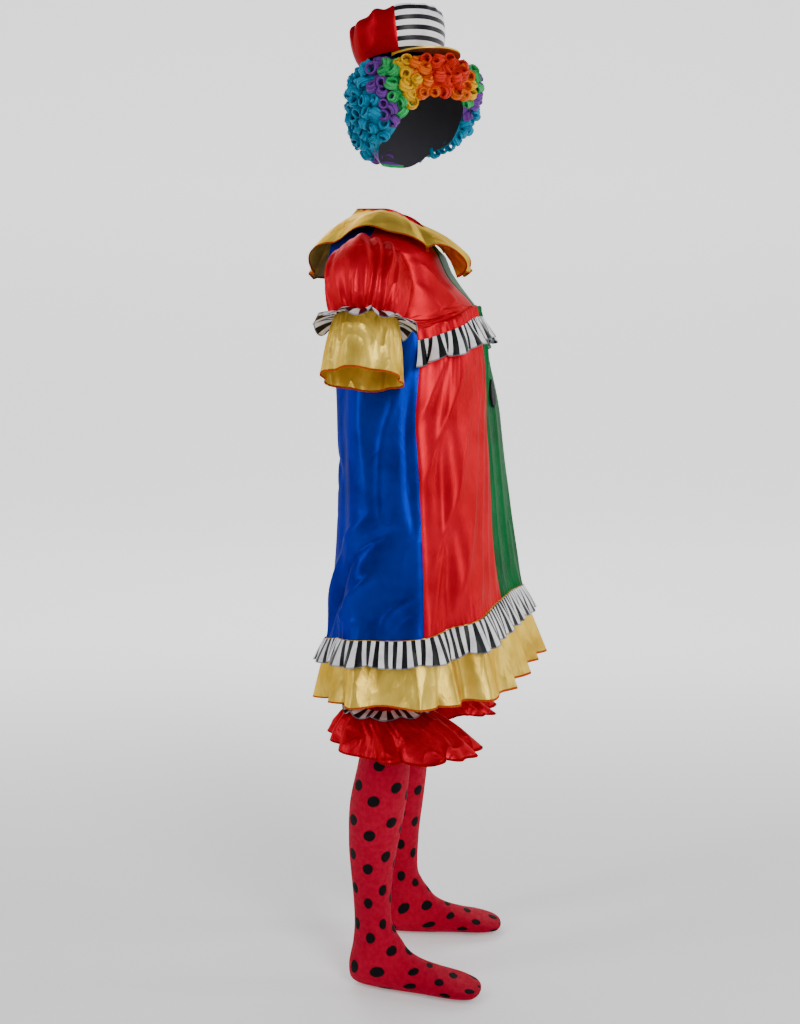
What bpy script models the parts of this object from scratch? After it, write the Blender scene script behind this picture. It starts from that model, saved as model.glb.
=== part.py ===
"""Clown costume as worn: a dress with collar, puff sleeves and flounces, bloomers, stockings,
a curly wig and a panelled cap. Metres, +Z up. The wearer faces -Y, with their left at +X.

Every piece of cloth is a wall of real thickness: a grid of points on its outer face, worked out
from named sizes, and the same grid moved in by the thickness. Heights in the tables are above
the floor; the origin is the middle of the neck base, NECK_HEIGHT up.
"""
import math

import bmesh
import bpy
import numpy as np

# ---------------------------------------------------------------- driving dimensions
NECK_HEIGHT = 1.365        # neck base, where the wearer carries the costume, above the floor
SATIN = 0.0018             # wall of a satin panel
STRIP = 0.0014             # wall of a gathered strip or flounce
KNIT = 0.0012              # wall of a stocking
GAP = 0.0003               # between two pieces at a seam

NECK_SIDE = 0.065          # half width of the neckline
NECK_FRONT_Y, NECK_FRONT_Z = -0.070, 1.345
NECK_BACK_Y, NECK_BACK_Z = 0.060, 1.392
NECK_SIDE_Z = 1.388
SHOULDER_TIP = (0.165, 0.0025, 1.335)
SHOULDER_RISE = 0.008      # how far the cloth rounds over the shoulder

ARMHOLE_Y, ARMHOLE_Z = -0.008, 1.265
ARMHOLE_DEPTH, ARMHOLE_HEIGHT = 0.062, 0.070
ARMHOLE_LEAN = 0.15

# Dress sections, from the yoke down to the hem of the flounce. The front, side and back of a
# section have their own heights, because the seams dip at the sides and at the back.
DRESS_COLUMNS = ("row", "front_z", "side_z", "back_z", "front_y", "back_y",
                 "half_width", "squareness", "seam_y")
DRESS_ROWS = (
    (1, 1.318, 1.310, 1.335, -0.088, 0.086, 0.166, 5.0, -0.020),
    (2, 1.272, 1.265, 1.285, -0.110, 0.094, 0.172, 4.0, -0.020),
    (3, 1.235, 1.195, 1.220, -0.144, 0.092, 0.175, 3.0, -0.0185),
    (4, 1.220, 1.178, 1.195, -0.156, 0.088, 0.177, 2.7, -0.070),
    (5, 1.203, 1.160, 1.160, -0.166, 0.084, 0.180, 2.6, -0.084),
    (6, 1.040, 1.010, 1.010, -0.180, 0.072, 0.198, 2.5, -0.108),
    (7, 0.890, 0.880, 0.875, -0.190, 0.068, 0.215, 2.4, -0.121),
    (8, 0.790, 0.770, 0.740, -0.198, 0.072, 0.230, 2.4, -0.129),
    (9, 0.694, 0.664, 0.622, -0.214, 0.086, 0.245, 2.3, -0.135),
    (10, 0.556, 0.558, 0.520, -0.252, 0.106, 0.272, 2.2, -0.145),
)
ARMPIT_ROW, EMPIRE_ROW, HEM_ROW, FLOUNCE_ROW = 3, 5, 9, 10

# The largest folds of the dress. Angles run from the centre front (0) by the side (90) to the
# centre back (180); the wearer's left is negative. A depth above 0 is a ridge.
FOLD_COLUMNS = ("top_angle", "hem_angle", "width", "top_depth", "hem_depth", "first_row")
FOLD_ROWS = (
    (38, 30, 13, 0.010, 0.018, 3.6),      # falls from the right bust
    (53, 46, 7, -0.004, -0.012, 5.0),
    (68, 62, 9, 0.002, 0.008, 5.0),
    (112, 104, 12, 0.003, 0.013, 4.0),
    (132, 127, 9, -0.003, -0.011, 4.0),
    (154, 150, 9, 0.003, 0.008, 3.0),
    (-38, -36, 14, 0.012, 0.037, 3.6),    # falls from the left bust
    (-60, -56, 8, -0.003, -0.011, 5.0),
    (-74, -70, 9, 0.002, 0.008, 5.0),
    (-108, -112, 12, 0.003, 0.012, 4.0),
    (-130, -131, 8, -0.003, -0.011, 4.0),
    (-152, -151, 9, 0.003, 0.009, 3.0),
)

TWIST = math.radians(7)    # the shoulders are turned against the hips, left shoulder back
TWIST_LOW_Z, TWIST_HIGH_Z = 1.00, 1.17

COLLAR_WAVES, COLLAR_WAVE = 8, 0.010
COLLAR_BULGE = 0.0070
# Outer edge of the collar by the angle round the neck, 0 at the front.
COLLAR_COLUMNS = ("angle", "x", "y", "z")
COLLAR_ROWS = (
    (0, 0.000, -0.130, 1.268),
    (35, 0.072, -0.119, 1.277),
    (65, 0.138, -0.079, 1.319),
    (90, 0.164, 0.002, 1.349),
    (118, 0.142, 0.079, 1.323),
    (150, 0.079, 0.122, 1.281),
    (180, 0.000, 0.134, 1.265),
)
BINDING_HEIGHT = 0.008
COLLAR_ROOT_OUT, COLLAR_ROOT_UP = 0.0016, 0.0045   # the collar's root from the neckline

BUST_RUFFLE = {"width": 0.042, "flare": 0.012, "wave": 0.005, "waves": 12}
HEM_RUFFLE = {"rows": 0.38, "flare": 0.0105, "wave": 0.004, "waves": 32}
HEM_FLOUNCE_WAVES, HEM_FLOUNCE_WAVE = 18, 0.009

SLEEVE_GATHERS, SLEEVE_GATHER = 8, 0.0035
SLEEVE_TILT = math.radians(20)
ELASTIC_CENTRE = (0.243, -0.009, 1.197)
ELASTIC_RADIUS = 0.053
SLEEVE_RUFFLE = {"root": 0.0016, "reach": 0.034, "drop": 0.010, "wave": 0.005, "waves": 11}
SLEEVE_FLOUNCE = {"radius": 0.067, "length": 0.104, "wave": 0.005, "waves": 6}

SPOT_RADIUS, SPOT_ANGLE, SPOT_ROW = 0.022, -14, 5.88

WAIST = {"top_z": 1.062, "height": 0.030, "half_width": 0.142, "half_depth": 0.105, "y": -0.050}
CROTCH_Z = 0.745
# Bloomer sections from the waistband down to the elastic below the knee. Above the crotch a leg
# is half of the seat; below it the leg is a tube round leg_x.
BLOOMER_COLUMNS = ("z", "half_width", "front_y", "back_y", "leg_x", "leg_radius", "tube")
BLOOMER_ROWS = (
    (1.0315, 0.142, -0.155, 0.055, 0.090, 0.080, 0.0),
    (0.960, 0.168, -0.158, 0.056, 0.090, 0.082, 0.0),
    (0.860, 0.186, -0.156, 0.050, 0.090, 0.083, 0.0),
    (0.745, 0.188, -0.138, 0.044, 0.097, 0.083, 0.0),
    (0.670, 0.190, -0.128, 0.046, 0.102, 0.080, 0.75),
    (0.590, 0.190, -0.120, 0.046, 0.104, 0.075, 1.0),
    (0.540, 0.190, -0.110, 0.046, 0.105, 0.068, 1.0),
    (0.516, 0.190, -0.110, 0.046, 0.105, 0.0512, 1.0),
)
KNEE_ELASTIC_Z, KNEE_RADIUS = 0.516, 0.0512
KNEE_RUFFLE = {"reach": 0.026, "drop": 0.006, "wave": 0.004, "waves": 10}
KNEE_FLOUNCE = {"half_width": 0.100, "half_depth": 0.128, "x": 0.122, "forward": 0.038,
                "z": 0.446, "tilt": 0.012, "wave": 0.011, "waves": 12}

# Each leg: which side, where its ankle stands, where its knee is and how far the foot turns out.
LEG_COLUMNS = ("side", "x", "y", "knee_y", "turn")
LEG_ROWS = (
    (-1, 0.105, 0.000, -0.028, 6.0),
    (1, 0.105, 0.015, 0.005, 21.0),
)
ANKLE_Z, KNEE_Z = 0.190, 0.480
# Stocking sections: the two ends of each section in the leg's own plane, front and back.
STOCKING_COLUMNS = ("front_y", "front_z", "back_y", "back_z", "half_width")
STOCKING_ROWS = (
    (-0.0485, 0.545, 0.0485, 0.545, 0.0485),
    (-0.0485, 0.480, 0.0485, 0.480, 0.0485),
    (-0.0460, 0.425, 0.0450, 0.425, 0.0450),
    (-0.0490, 0.340, 0.0520, 0.340, 0.0480),
    (-0.0450, 0.268, 0.0460, 0.268, 0.0430),
    (-0.0370, 0.190, 0.0355, 0.190, 0.0345),
    (-0.0350, 0.125, 0.0310, 0.122, 0.0300),
    (-0.0440, 0.100, 0.0335, 0.080, 0.0300),
    (-0.0550, 0.084, 0.0415, 0.035, 0.0310),
    (-0.0690, 0.066, 0.0330, 0.008, 0.0320),
    (-0.0910, 0.052, -0.0120, 0.001, 0.0350),
    (-0.1240, 0.039, -0.0900, 0.001, 0.0400),
    (-0.1580, 0.029, -0.1480, 0.001, 0.0430),
    (-0.1840, 0.021, -0.1820, 0.002, 0.0350),
    (-0.1960, 0.016, -0.1950, 0.006, 0.0190),
)
TOE = (-0.1990, 0.0110)

HEAD = (-0.009, -0.054, 1.560)      # middle of the head
HEAD_TURN = math.radians(-29)       # the head looks to the wearer's right
HEAD_RADII = (0.078, 0.096, 0.088)  # the plain inside of the wig
WIG_RADII = (0.130, 0.122, 0.125)   # its curls' middle surface
HEAD_LOW_RADIUS, WIG_LOW_RADIUS = 0.120, 0.106   # the upright radii of their lower halves
WIG_SQUARENESS = 3.0                # of its upper half, seen from the side
CURL_HEIGHT = 0.0045
# Lower edge of the wig by the angle from the face, as a height from the middle of the head.
WIG_EDGE_COLUMNS = ("angle", "z")
WIG_EDGE_ROWS = (
    (0, 0.032),
    (35, 0.028),
    (60, 0.004),
    (80, -0.034),
    (105, -0.050),
    (135, -0.076),
    (180, -0.082),
)

HAT_BASE = (-0.010, -0.024, 1.663)  # middle of the hat's lower edge
HAT_TILT = math.radians(9)          # its front is raised
HAT_SEAT, PEAK_SEAT = 0.0006, 0.0140   # the wig's top below the hat's edge, and below its peak
PEAK_SEAT_FROM = 0.030              # how far forward the lower of the two begins
HAT_DROOP = 0.22                    # how much lower the crown is at the back
HAT_COLUMNS = ("radius", "height")
HAT_ROWS = (
    (0.0740, 0.0000),
    (0.0820, 0.0200),
    (0.0870, 0.0480),
    (0.0865, 0.0720),
    (0.0790, 0.0830),
    (0.0450, 0.0870),
    (0.0050, 0.0880),
)
PEAK_ANGLE, PEAK_LENGTH, PEAK_DROP, PEAK_THICKNESS = 56.0, 0.050, 0.009, 0.003

RED = (0.62, 0.006, 0.010)
GREEN = (0.0, 0.23, 0.05)
BLUE = (0.0, 0.035, 0.48)
GOLD = (0.80, 0.47, 0.05)
STRIPED = (0.42, 0.42, 0.43)
BLACK = (0.012, 0.012, 0.014)


# ---------------------------------------------------------------- scene and materials
for old in list(bpy.data.objects):
    bpy.data.objects.remove(old, do_unlink=True)

costume = bpy.data.collections.new("clown_costume")
bpy.context.scene.collection.children.link(costume)


def cloth_material(name, colour, roughness):
    """A plain Principled material of one colour."""
    material = bpy.data.materials.new(name)
    material.use_nodes = True
    shader = material.node_tree.nodes["Principled BSDF"]
    shader.inputs["Base Color"].default_value = (*colour, 1.0)
    shader.inputs["Roughness"].default_value = roughness
    shader.inputs["Metallic"].default_value = 0.0
    material.diffuse_color = (*colour, 1.0)
    return material


# ---------------------------------------------------------------- walls from grids of points
def column(columns, rows, name):
    """One named column of a table, as an array."""
    return np.array([row[columns.index(name)] for row in rows], dtype=float)


def smooth_between(stations, values, at):
    """A smooth curve through values at stations, read at one place."""
    slopes = np.gradient(values, stations)
    at = min(max(at, stations[0]), stations[-1])
    i = min(int(np.searchsorted(stations, at, side="right")) - 1, len(stations) - 2)
    step = stations[i + 1] - stations[i]
    t = (at - stations[i]) / step
    return ((2 * t**3 - 3 * t**2 + 1) * values[i] + (t**3 - 2 * t**2 + t) * step * slopes[i]
            + (3 * t**2 - 2 * t**3) * values[i + 1] + (t**3 - t**2) * step * slopes[i + 1])


def unit(vectors):
    """Vectors scaled to length 1."""
    return vectors / np.maximum(np.linalg.norm(vectors, axis=-1, keepdims=True), 1e-12)


def outward(grid, closed, inside):
    """Normals of a grid of points, turned away from the inside point of each row."""
    if closed:
        along = np.roll(grid, -1, axis=1) - np.roll(grid, 1, axis=1)
    else:
        along = np.gradient(grid, axis=1)
    down = np.gradient(grid, axis=0)
    normals = unit(np.cross(along, down))
    away = grid - inside
    flip = np.sign(np.sum(normals * away, axis=-1, keepdims=True).sum())
    return normals * (flip if flip else 1.0)


def worn(points, twist):
    """Points turned with the shoulders: dress points more the higher they are, sleeves fully."""
    if twist == "shoulders":
        rise = np.ones(len(points))
    else:
        rise = np.clip((points[:, 2] - TWIST_LOW_Z) / (TWIST_HIGH_Z - TWIST_LOW_Z), 0.0, 1.0)
    angle = TWIST * rise * rise * (3 - 2 * rise)
    x, y = points[:, 0].copy(), points[:, 1].copy()
    return np.stack([x * np.cos(angle) - y * np.sin(angle), x * np.sin(angle) + y * np.cos(angle),
                     points[:, 2]], axis=-1)


def wall(name, outer, inner, colour, closed=False, keep=None, roughness=0.4,
         twist="dress"):
    """A cloth wall: an outer and an inner grid, joined by a rim wherever the cloth ends."""
    rows, cols = outer.shape[:2]
    points = np.concatenate([outer.reshape(-1, 3), inner.reshape(-1, 3)])
    if twist:
        points = worn(points, twist)
    points[:, 2] -= NECK_HEIGHT
    back = rows * cols
    quads = []
    for r in range(rows - 1):
        for c in range(cols if closed else cols - 1):
            if keep is None or keep[r][c]:
                d = (c + 1) % cols
                quads.append((r * cols + c, r * cols + d, (r + 1) * cols + d, (r + 1) * cols + c))
    edges = {(q[k], q[(k + 1) % 4]) for q in quads for k in range(4)}
    faces = []
    for a, b, c, d in quads:
        # Both faces of the wall are split along the same diagonal, the outer grid's shorter one.
        if np.linalg.norm(points[a] - points[c]) <= np.linalg.norm(points[b] - points[d]):
            faces += [(a, b, c), (a, c, d)]
        else:
            faces += [(a, b, d), (b, c, d)]
    faces += [(back + c, back + b, back + a) for a, b, c in faces]
    for a, b in sorted(edges):
        if (b, a) not in edges:
            faces += [(b, a, back + a), (b, back + a, back + b)]

    mesh = bpy.data.meshes.new(name)
    mesh.from_pydata(points.tolist(), [], faces)
    work = bmesh.new()
    work.from_mesh(mesh)
    bmesh.ops.remove_doubles(work, verts=work.verts, dist=1e-6)
    bmesh.ops.delete(work, geom=[v for v in work.verts if not v.link_faces], context="VERTS")
    bmesh.ops.recalc_face_normals(work, faces=work.faces)
    work.to_mesh(mesh)
    work.free()
    mesh.shade_smooth()
    mesh.set_sharp_from_angle(angle=math.radians(40))
    piece = bpy.data.objects.new(name, mesh)
    piece.data.materials.append(cloth_material(name, colour, roughness))
    costume.objects.link(piece)
    return piece


def tube_wall(name, outer, thickness, colour, inside, closed=True, **extra):
    """A wall whose inner face follows the outer grid's own normals."""
    return wall(name, outer, outer - outward(outer, closed, inside) * thickness, colour,
                closed=closed, **extra)


# ---------------------------------------------------------------- the dress's shared surface
def dress_value(name, row):
    """A column of the dress table between its rows."""
    return smooth_between(column(DRESS_COLUMNS, DRESS_ROWS, "row"),
                          column(DRESS_COLUMNS, DRESS_ROWS, name), row)


def fold_depth(angle, row):
    """How far the folds move the cloth outwards, by angle in degrees."""
    depth = np.zeros_like(angle)
    fall = (row - EMPIRE_ROW) / (FLOUNCE_ROW - EMPIRE_ROW)
    for top, hem, width, top_depth, hem_depth, first in FOLD_ROWS:
        start = np.clip((row - first) / 1.4, 0.0, 1.0)
        centre = top + (hem - top) * max(fall, 0.0)
        apart = (angle - centre + 180.0) % 360.0 - 180.0
        height = top_depth + (hem_depth - top_depth) * max(fall, 0.0)
        depth += start * height * np.exp(-(apart / width) ** 2)
    return depth


def dress_points(angle, row):
    """Points of a dress section: a super-ellipse with folds, by angle in radians."""
    front, back = dress_value("front_y", row), dress_value("back_y", row)
    power = 2.0 / dress_value("squareness", row)
    sine, cosine = np.sin(angle), np.cos(angle)
    x = -dress_value("half_width", row) * np.sign(sine) * np.abs(sine) ** power
    y_out = -(back - front) / 2 * np.sign(cosine) * np.abs(cosine) ** power
    side_z = dress_value("side_z", row)
    end_z = np.where(cosine > 0, dress_value("front_z", row), dress_value("back_z", row))
    z = side_z + (end_z - side_z) * cosine**2
    away = unit(np.stack([x, y_out], axis=-1)) * fold_depth(np.degrees(angle), row)[:, None]
    return np.stack([x + away[:, 0], (front + back) / 2 + y_out + away[:, 1], z], axis=-1)


def edge_angle(row, part):
    """Where a panel ends in a section: on the armhole above the armpit, on the side seam below."""
    y = dress_value("seam_y", row)
    if row < ARMPIT_ROW:
        height = (dress_value("side_z", row) - ARMHOLE_Z) / ARMHOLE_HEIGHT
        half = ARMHOLE_DEPTH * math.sqrt(max(0.0, 1.0 - height**2))
        y = ARMHOLE_Y + ARMHOLE_LEAN * ARMHOLE_HEIGHT * height
        y += -half if part == "front" else half
    front, back = dress_value("front_y", row), dress_value("back_y", row)
    share = ((front + back) / 2 - y) / ((back - front) / 2)
    share = math.copysign(abs(share) ** (dress_value("squareness", row) / 2), share)
    return math.acos(min(1.0, max(-1.0, share)))


def spaced(points_at, start, end, shares, inset):
    """Points at equal shares of the length from start to end, with a small inset at both ends."""
    dense = np.linspace(start, end, 240)
    steps = np.linalg.norm(np.diff(points_at(dense), axis=0), axis=1)
    length = np.concatenate([[0.0], np.cumsum(steps)])
    wanted = inset + shares * (length[-1] - 2 * inset)
    return points_at(np.interp(wanted, length, dense))


def neckline(angle):
    """The neckline by angle from the front, in radians."""
    sine, cosine = np.sin(angle), np.cos(angle)
    end_y = np.where(cosine > 0, -NECK_FRONT_Y, NECK_BACK_Y)
    end_z = np.where(cosine > 0, NECK_FRONT_Z, NECK_BACK_Z)
    return np.stack([-NECK_SIDE * sine, -end_y * cosine,
                     NECK_SIDE_Z + (end_z - NECK_SIDE_Z) * cosine**2], axis=-1)


def top_edge(part, side, shares):
    """The top edge of a panel from the centre: half of the shares on the neckline, half on the
    shoulder seam."""
    centre = 0.0 if part == "front" else math.pi
    quarter = math.pi / 2
    around = np.clip(shares * 2, 0, 1)
    neck = spaced(neckline, centre, quarter, around, 0.0)
    neck[:, 0] -= GAP / 2 * (1 - around)
    tip = np.array([-SHOULDER_TIP[0], SHOULDER_TIP[1], SHOULDER_TIP[2]])
    corner = np.array([-NECK_SIDE, 0.0, NECK_SIDE_Z])
    along = np.clip(shares * 2 - 1, 0, 1)[:, None]
    top = np.where(along > 0, corner + along * (tip - corner), neck)
    top[:, 1] += (-GAP if part == "front" else GAP) * around**4 * 0.7
    top[:, 0] *= -side
    return top


def panel_row(part, side, shares, row):
    """A row of a dress panel from the centre (0) to its side edge (1); side -1 is the right."""
    sign = -side
    centre = 0.0 if part == "front" else math.pi
    low = max(row, 1.0)
    section = spaced(lambda a: dress_points(a, low), sign * centre, sign * edge_angle(low, part),
                     shares, GAP / 2)
    if row >= 1.0:
        return section
    top = top_edge(part, side, shares)
    mixed = top + (section - top) * row
    mixed[:, 2] += SHOULDER_RISE * 4 * row * (1 - row) * shares
    return mixed


def panel(name, part, side, rows, colour):
    """One dress panel as a wall, through the given rows of the dress table."""
    shares = np.linspace(0, 1, PANEL_COLUMNS + 1)
    levels = np.array(rows, dtype=float)
    first = rows[0]
    levels[0] += 0.003 if first > 0 else 0.0
    levels[-1] -= 0.003
    grid = np.array([panel_row(part, side, shares, level) for level in levels])
    step = 1e-3
    left = np.array([panel_row(part, side, np.clip(shares - step, 0, 1), v) for v in levels])
    right = np.array([panel_row(part, side, np.clip(shares + step, 0, 1), v) for v in levels])
    # At the armpit the armhole's edge runs level, so the slope is read below it alone.
    above = np.array([panel_row(part, side, shares, v if v == ARMPIT_ROW else max(v - step, first))
                      for v in levels])
    below = np.array([panel_row(part, side, shares, v + step) for v in levels])
    normals = unit(np.cross(right - left, below - above))
    normals *= np.sign((normals[:, :, 1] * (-1 if part == "front" else 1)).sum())
    if first == 0:
        seam = shares >= 0.5
        normals[0, seam] = unit(np.array([side * 0.47, 0.0, 0.88]))
    normals[:, 0, 0] = 0.0
    normals[:, 0] = unit(normals[:, 0])
    return wall(name, grid, grid - normals * SATIN, colour)


SIDES = ((-1, "right"), (1, "left"))
BODICE_LEVELS = (0, 0.5, 1, 1.5, 2, 2.5, 3, 4, 5)
PANEL_COLUMNS = 12
SKIRT_LEVELS = (5, 5.5, 6, 7, 8, 9)
BACK_LEVELS = (0, 0.5, 1, 1.5, 2, 2.5, 3, 4, 5, 5.5, 6, 7, 8, 9)
for side, word in SIDES:
    front_colour = RED if side < 0 else GREEN
    panel(f"bodice_front_{word}", "front", side, BODICE_LEVELS, front_colour)
    panel(f"skirt_front_{word}", "front", side, SKIRT_LEVELS, front_colour)
    panel(f"back_{word}", "back", side, BACK_LEVELS, BLUE)


# ---------------------------------------------------------------- neck binding and collar
def ring_angles(count):
    """Equal angles round a ring, in radians."""
    return np.arange(count) * 2 * math.pi / count


def binding():
    """The narrow band that stands on the neckline."""
    half = np.linspace(0, 0.5, PANEL_COLUMNS // 2 + 1)
    right = [top_edge("front", -1, half), top_edge("back", -1, half)[::-1][1:]]
    left = [top_edge("back", 1, half)[1:], top_edge("front", 1, half)[::-1][1:-1]]
    ring = np.concatenate(right + left)
    rise = np.array([BINDING_HEIGHT, 2 * GAP])[:, None, None] * np.array([0.0, 0.0, 1.0])
    grid = ring[None] + rise
    tube_wall("neck_binding", grid, SATIN, RED, grid.mean(axis=1, keepdims=True))


def collar():
    """The wide collar: straight from the neckline to its outer edge, then waves on top."""
    angles = ring_angles(COLLAR_WAVES * 6)
    root = neckline(angles)
    level = unit(root * np.array([1.0, 1.0, 0.0]))
    root = root + level * COLLAR_ROOT_OUT + np.array([0.0, 0.0, COLLAR_ROOT_UP])
    turns = column(COLLAR_COLUMNS, COLLAR_ROWS, "angle")
    place = np.degrees(np.where(angles > math.pi, 2 * math.pi - angles, angles))
    edge = np.array([[smooth_between(turns, column(COLLAR_COLUMNS, COLLAR_ROWS, name), at)
                      for name in ("x", "y", "z")] for at in place])
    edge[:, 0] *= np.where(angles > math.pi, 1.0, -1.0)
    share = np.linspace(0, 1, 4)[:, None, None]
    grid = root + (edge - root) * share
    normals = outward(grid, True, np.array([0.0, 0.0, 1.0]))
    wave = COLLAR_WAVE * (1 + np.cos(COLLAR_WAVES * angles + 0.6))[None, :, None] / 2 * 1.8
    grid = grid + normals * (wave * share**1.2 + 0.002 * share + COLLAR_BULGE * np.sin(math.pi * share))
    tube_wall("collar", grid, STRIP, GOLD, np.array([0.0, 0.0, 1.0]))


# ---------------------------------------------------------------- ruffles and flounces of the dress
def level_normals(points, closed):
    """Level directions square to a line of points round the body, pointing outwards."""
    if closed:
        along = np.roll(points, -1, axis=0) - np.roll(points, 1, axis=0)
    else:
        along = np.gradient(points, axis=0)
    normals = unit(np.stack([along[:, 1], -along[:, 0], np.zeros(len(points))], axis=-1))
    away = points - np.array([0.0, -0.06, 0.0])
    return normals * np.sign((normals[:, :2] * away[:, :2]).sum())


def hung_ruffle(name, top, bottom, closed, size, lift, colour):
    """A gathered strip between two lines that flares and waves more towards its free edge."""
    count = len(top) if closed else len(top) - 1
    wave = size["wave"] * np.cos(np.arange(len(top)) * 2 * math.pi * size["waves"] / count)
    out_top, out_bottom = level_normals(top, closed), level_normals(bottom, closed)
    grid = np.array([top + out_top * lift, bottom + out_bottom * (lift + size["flare"] + wave[:, None])])
    inner = grid - np.array([out_top, out_bottom]) * STRIP
    wall(name, grid, inner, colour, closed=closed)


def resampled(line, count, closed):
    """Evenly spaced points along a polyline."""
    if closed:
        line = np.concatenate([line, line[:1]])
    length = np.concatenate([[0], np.cumsum(np.linalg.norm(np.diff(line, axis=0), axis=1))])
    wanted = (np.arange(count) / count if closed else np.linspace(0, 1, count + 1)) * length[-1]
    return np.stack([np.interp(wanted, length, line[:, k]) for k in range(3)], axis=-1)


def front_seam(row):
    """The lower edge of the two front panels, from the right side seam to the left one."""
    shares = np.linspace(0, 1, PANEL_COLUMNS + 1)
    return np.concatenate([panel_row("front", -1, shares, row)[::-1], panel_row("front", 1, shares, row)])


def whole_seam(row):
    """The lower edge of all four panels, from the centre back round by the right side."""
    shares = np.linspace(0, 1, PANEL_COLUMNS + 1)
    return np.concatenate([panel_row("back", -1, shares, row), front_seam(row),
                           panel_row("back", 1, shares, row)[::-1]])


def body_line(row, start, end, count, closed):
    """Evenly spaced points of a dress section between two angles."""
    shares = np.arange(count) / count if closed else np.linspace(0, 1, count + 1)
    return spaced(lambda a: dress_points(a, row), start, end, shares, 0.0)


binding()
collar()
empire_line = resampled(front_seam(EMPIRE_ROW), BUST_RUFFLE["waves"] * 4, False)
empire_line[:, 2] -= 2 * GAP
hung_ruffle("bust_ruffle", empire_line, empire_line - np.array([0.0, 0.0, BUST_RUFFLE["width"]]),
            False, BUST_RUFFLE, STRIP + GAP, STRIPED)


def hem_flounce():
    """The gold flounce from the hem seam down, wider and wavier towards its edge."""
    count = HEM_FLOUNCE_WAVES * 4
    shares = np.arange(count) * 2 * math.pi / count
    rows = []
    for row in (HEM_ROW, HEM_ROW + 0.45, FLOUNCE_ROW):
        line = body_line(row, math.pi, -math.pi, count, True)
        if row == HEM_ROW:
            line = resampled(whole_seam(HEM_ROW), count, True) - np.array([0.0, 0.0, 2.5 * GAP])
        wave = HEM_FLOUNCE_WAVE * (row - HEM_ROW) * np.cos(HEM_FLOUNCE_WAVES * shares)
        rows.append(line + level_normals(line, True) * wave[:, None])
    grid = np.array(rows)
    wall("hem_flounce", grid, grid - np.array([level_normals(r, True) for r in rows]) * STRIP,
         GOLD, closed=True)


hem_flounce()
hem_count = HEM_RUFFLE["waves"] * 4
hem_line = resampled(whole_seam(HEM_ROW), hem_count, True) - np.array([0.0, 0.0, 2.5 * GAP])
hung_ruffle("hem_ruffle", hem_line,
            body_line(HEM_ROW + HEM_RUFFLE["rows"], math.pi, -math.pi, hem_count, True),
            True, HEM_RUFFLE, STRIP + 2 * GAP + 0.0010, STRIPED)


def spot():
    """The round spot on the left front, made from the panel's own points, moved out."""
    turn = ring_angles(12)
    centre = math.radians(SPOT_ANGLE)
    grid = []
    for radius in (SPOT_RADIUS, SPOT_RADIUS * 0.5, 0.0):
        ring = []
        for a in turn:
            row = SPOT_ROW - radius * math.sin(a) / 0.145
            here = dress_points(np.array([centre, centre + 0.01]), row)
            per_radian = np.linalg.norm(here[1] - here[0]) / 0.01
            ring.append(dress_points(np.array([centre + radius * math.cos(a) / per_radian]), row)[0])
        grid.append(ring)
    grid = np.array(grid)
    out = unit(np.array([0.07, -1.0, 0.06]))
    wall("front_spot", grid + out * (GAP + 0.0012 + 0.0008), grid + out * (GAP + 0.0008),
         BLACK, closed=True)


spot()


# ---------------------------------------------------------------- sleeves
def armhole_line(side, count):
    """Points round an armhole from the shoulder tip by the front, evenly spaced."""
    ends = np.array([1.0])
    front = [panel_row("front", side, ends, v)[0] for v in np.linspace(0, ARMPIT_ROW, 60)]
    rear = [panel_row("back", side, ends, v)[0] for v in np.linspace(ARMPIT_ROW, 0, 60)]
    line = np.array(front + rear[1:])
    length = np.concatenate([[0], np.cumsum(np.linalg.norm(np.diff(line, axis=0), axis=1))])
    wanted = np.arange(count) / count * length[-1]
    return np.stack([np.interp(wanted, length, line[:, k]) for k in range(3)], axis=-1)


def sleeve_frame(side):
    """Centre, way down and two level directions of the elastic: outer side, then front."""
    centre = np.array([side * ELASTIC_CENTRE[0], ELASTIC_CENTRE[1], ELASTIC_CENTRE[2]])
    down = np.array([side * math.sin(SLEEVE_TILT), 0.0, -math.cos(SLEEVE_TILT)])
    outer = np.array([side * math.cos(SLEEVE_TILT), 0.0, math.sin(SLEEVE_TILT)])
    return centre, down, outer, np.array([0.0, -1.0, 0.0])


def elastic_ring(side, angles, radius, drop):
    """A ring round the sleeve's axis, drop below the elastic."""
    centre, down, outer, front = sleeve_frame(side)
    radius = np.broadcast_to(radius, angles.shape)[:, None]
    turned = np.cos(angles)[:, None] * outer + np.sin(angles)[:, None] * front
    return centre + down * np.broadcast_to(drop, angles.shape)[:, None] + radius * turned


def sleeve(side, word):
    """A puff from the armhole to the elastic: a Bezier path for each point round the armhole."""
    count = SLEEVE_GATHERS * 4
    angles = ring_angles(count)
    start = armhole_line(side, count) + np.array([side * 2 * GAP, 0.0, 0.0])
    end = elastic_ring(side, angles, ELASTIC_RADIUS, 0.0)
    reach = np.linalg.norm(end - start, axis=1, keepdims=True)
    centre, down = sleeve_frame(side)[:2]
    radial = unit(end - centre)
    leave = start + reach * 0.42 * np.array([side * 1.0, 0.0, 0.25])
    arrive = end - down * reach * 0.42 + radial * reach * 0.30
    t = np.linspace(0, 1, 7)[:, None, None]
    grid = ((1 - t) ** 3 * start + 3 * (1 - t) ** 2 * t * leave
            + 3 * (1 - t) * t**2 * arrive + t**3 * end)
    middle = grid.mean(axis=1, keepdims=True)
    gather = SLEEVE_GATHER * np.cos(SLEEVE_GATHERS * angles)[None, :, None]
    grid = grid + outward(grid, True, middle) * gather * np.sqrt(np.sin(math.pi * t))
    tube_wall(f"sleeve_{word}", grid, SATIN, RED, middle, twist="shoulders")


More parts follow.
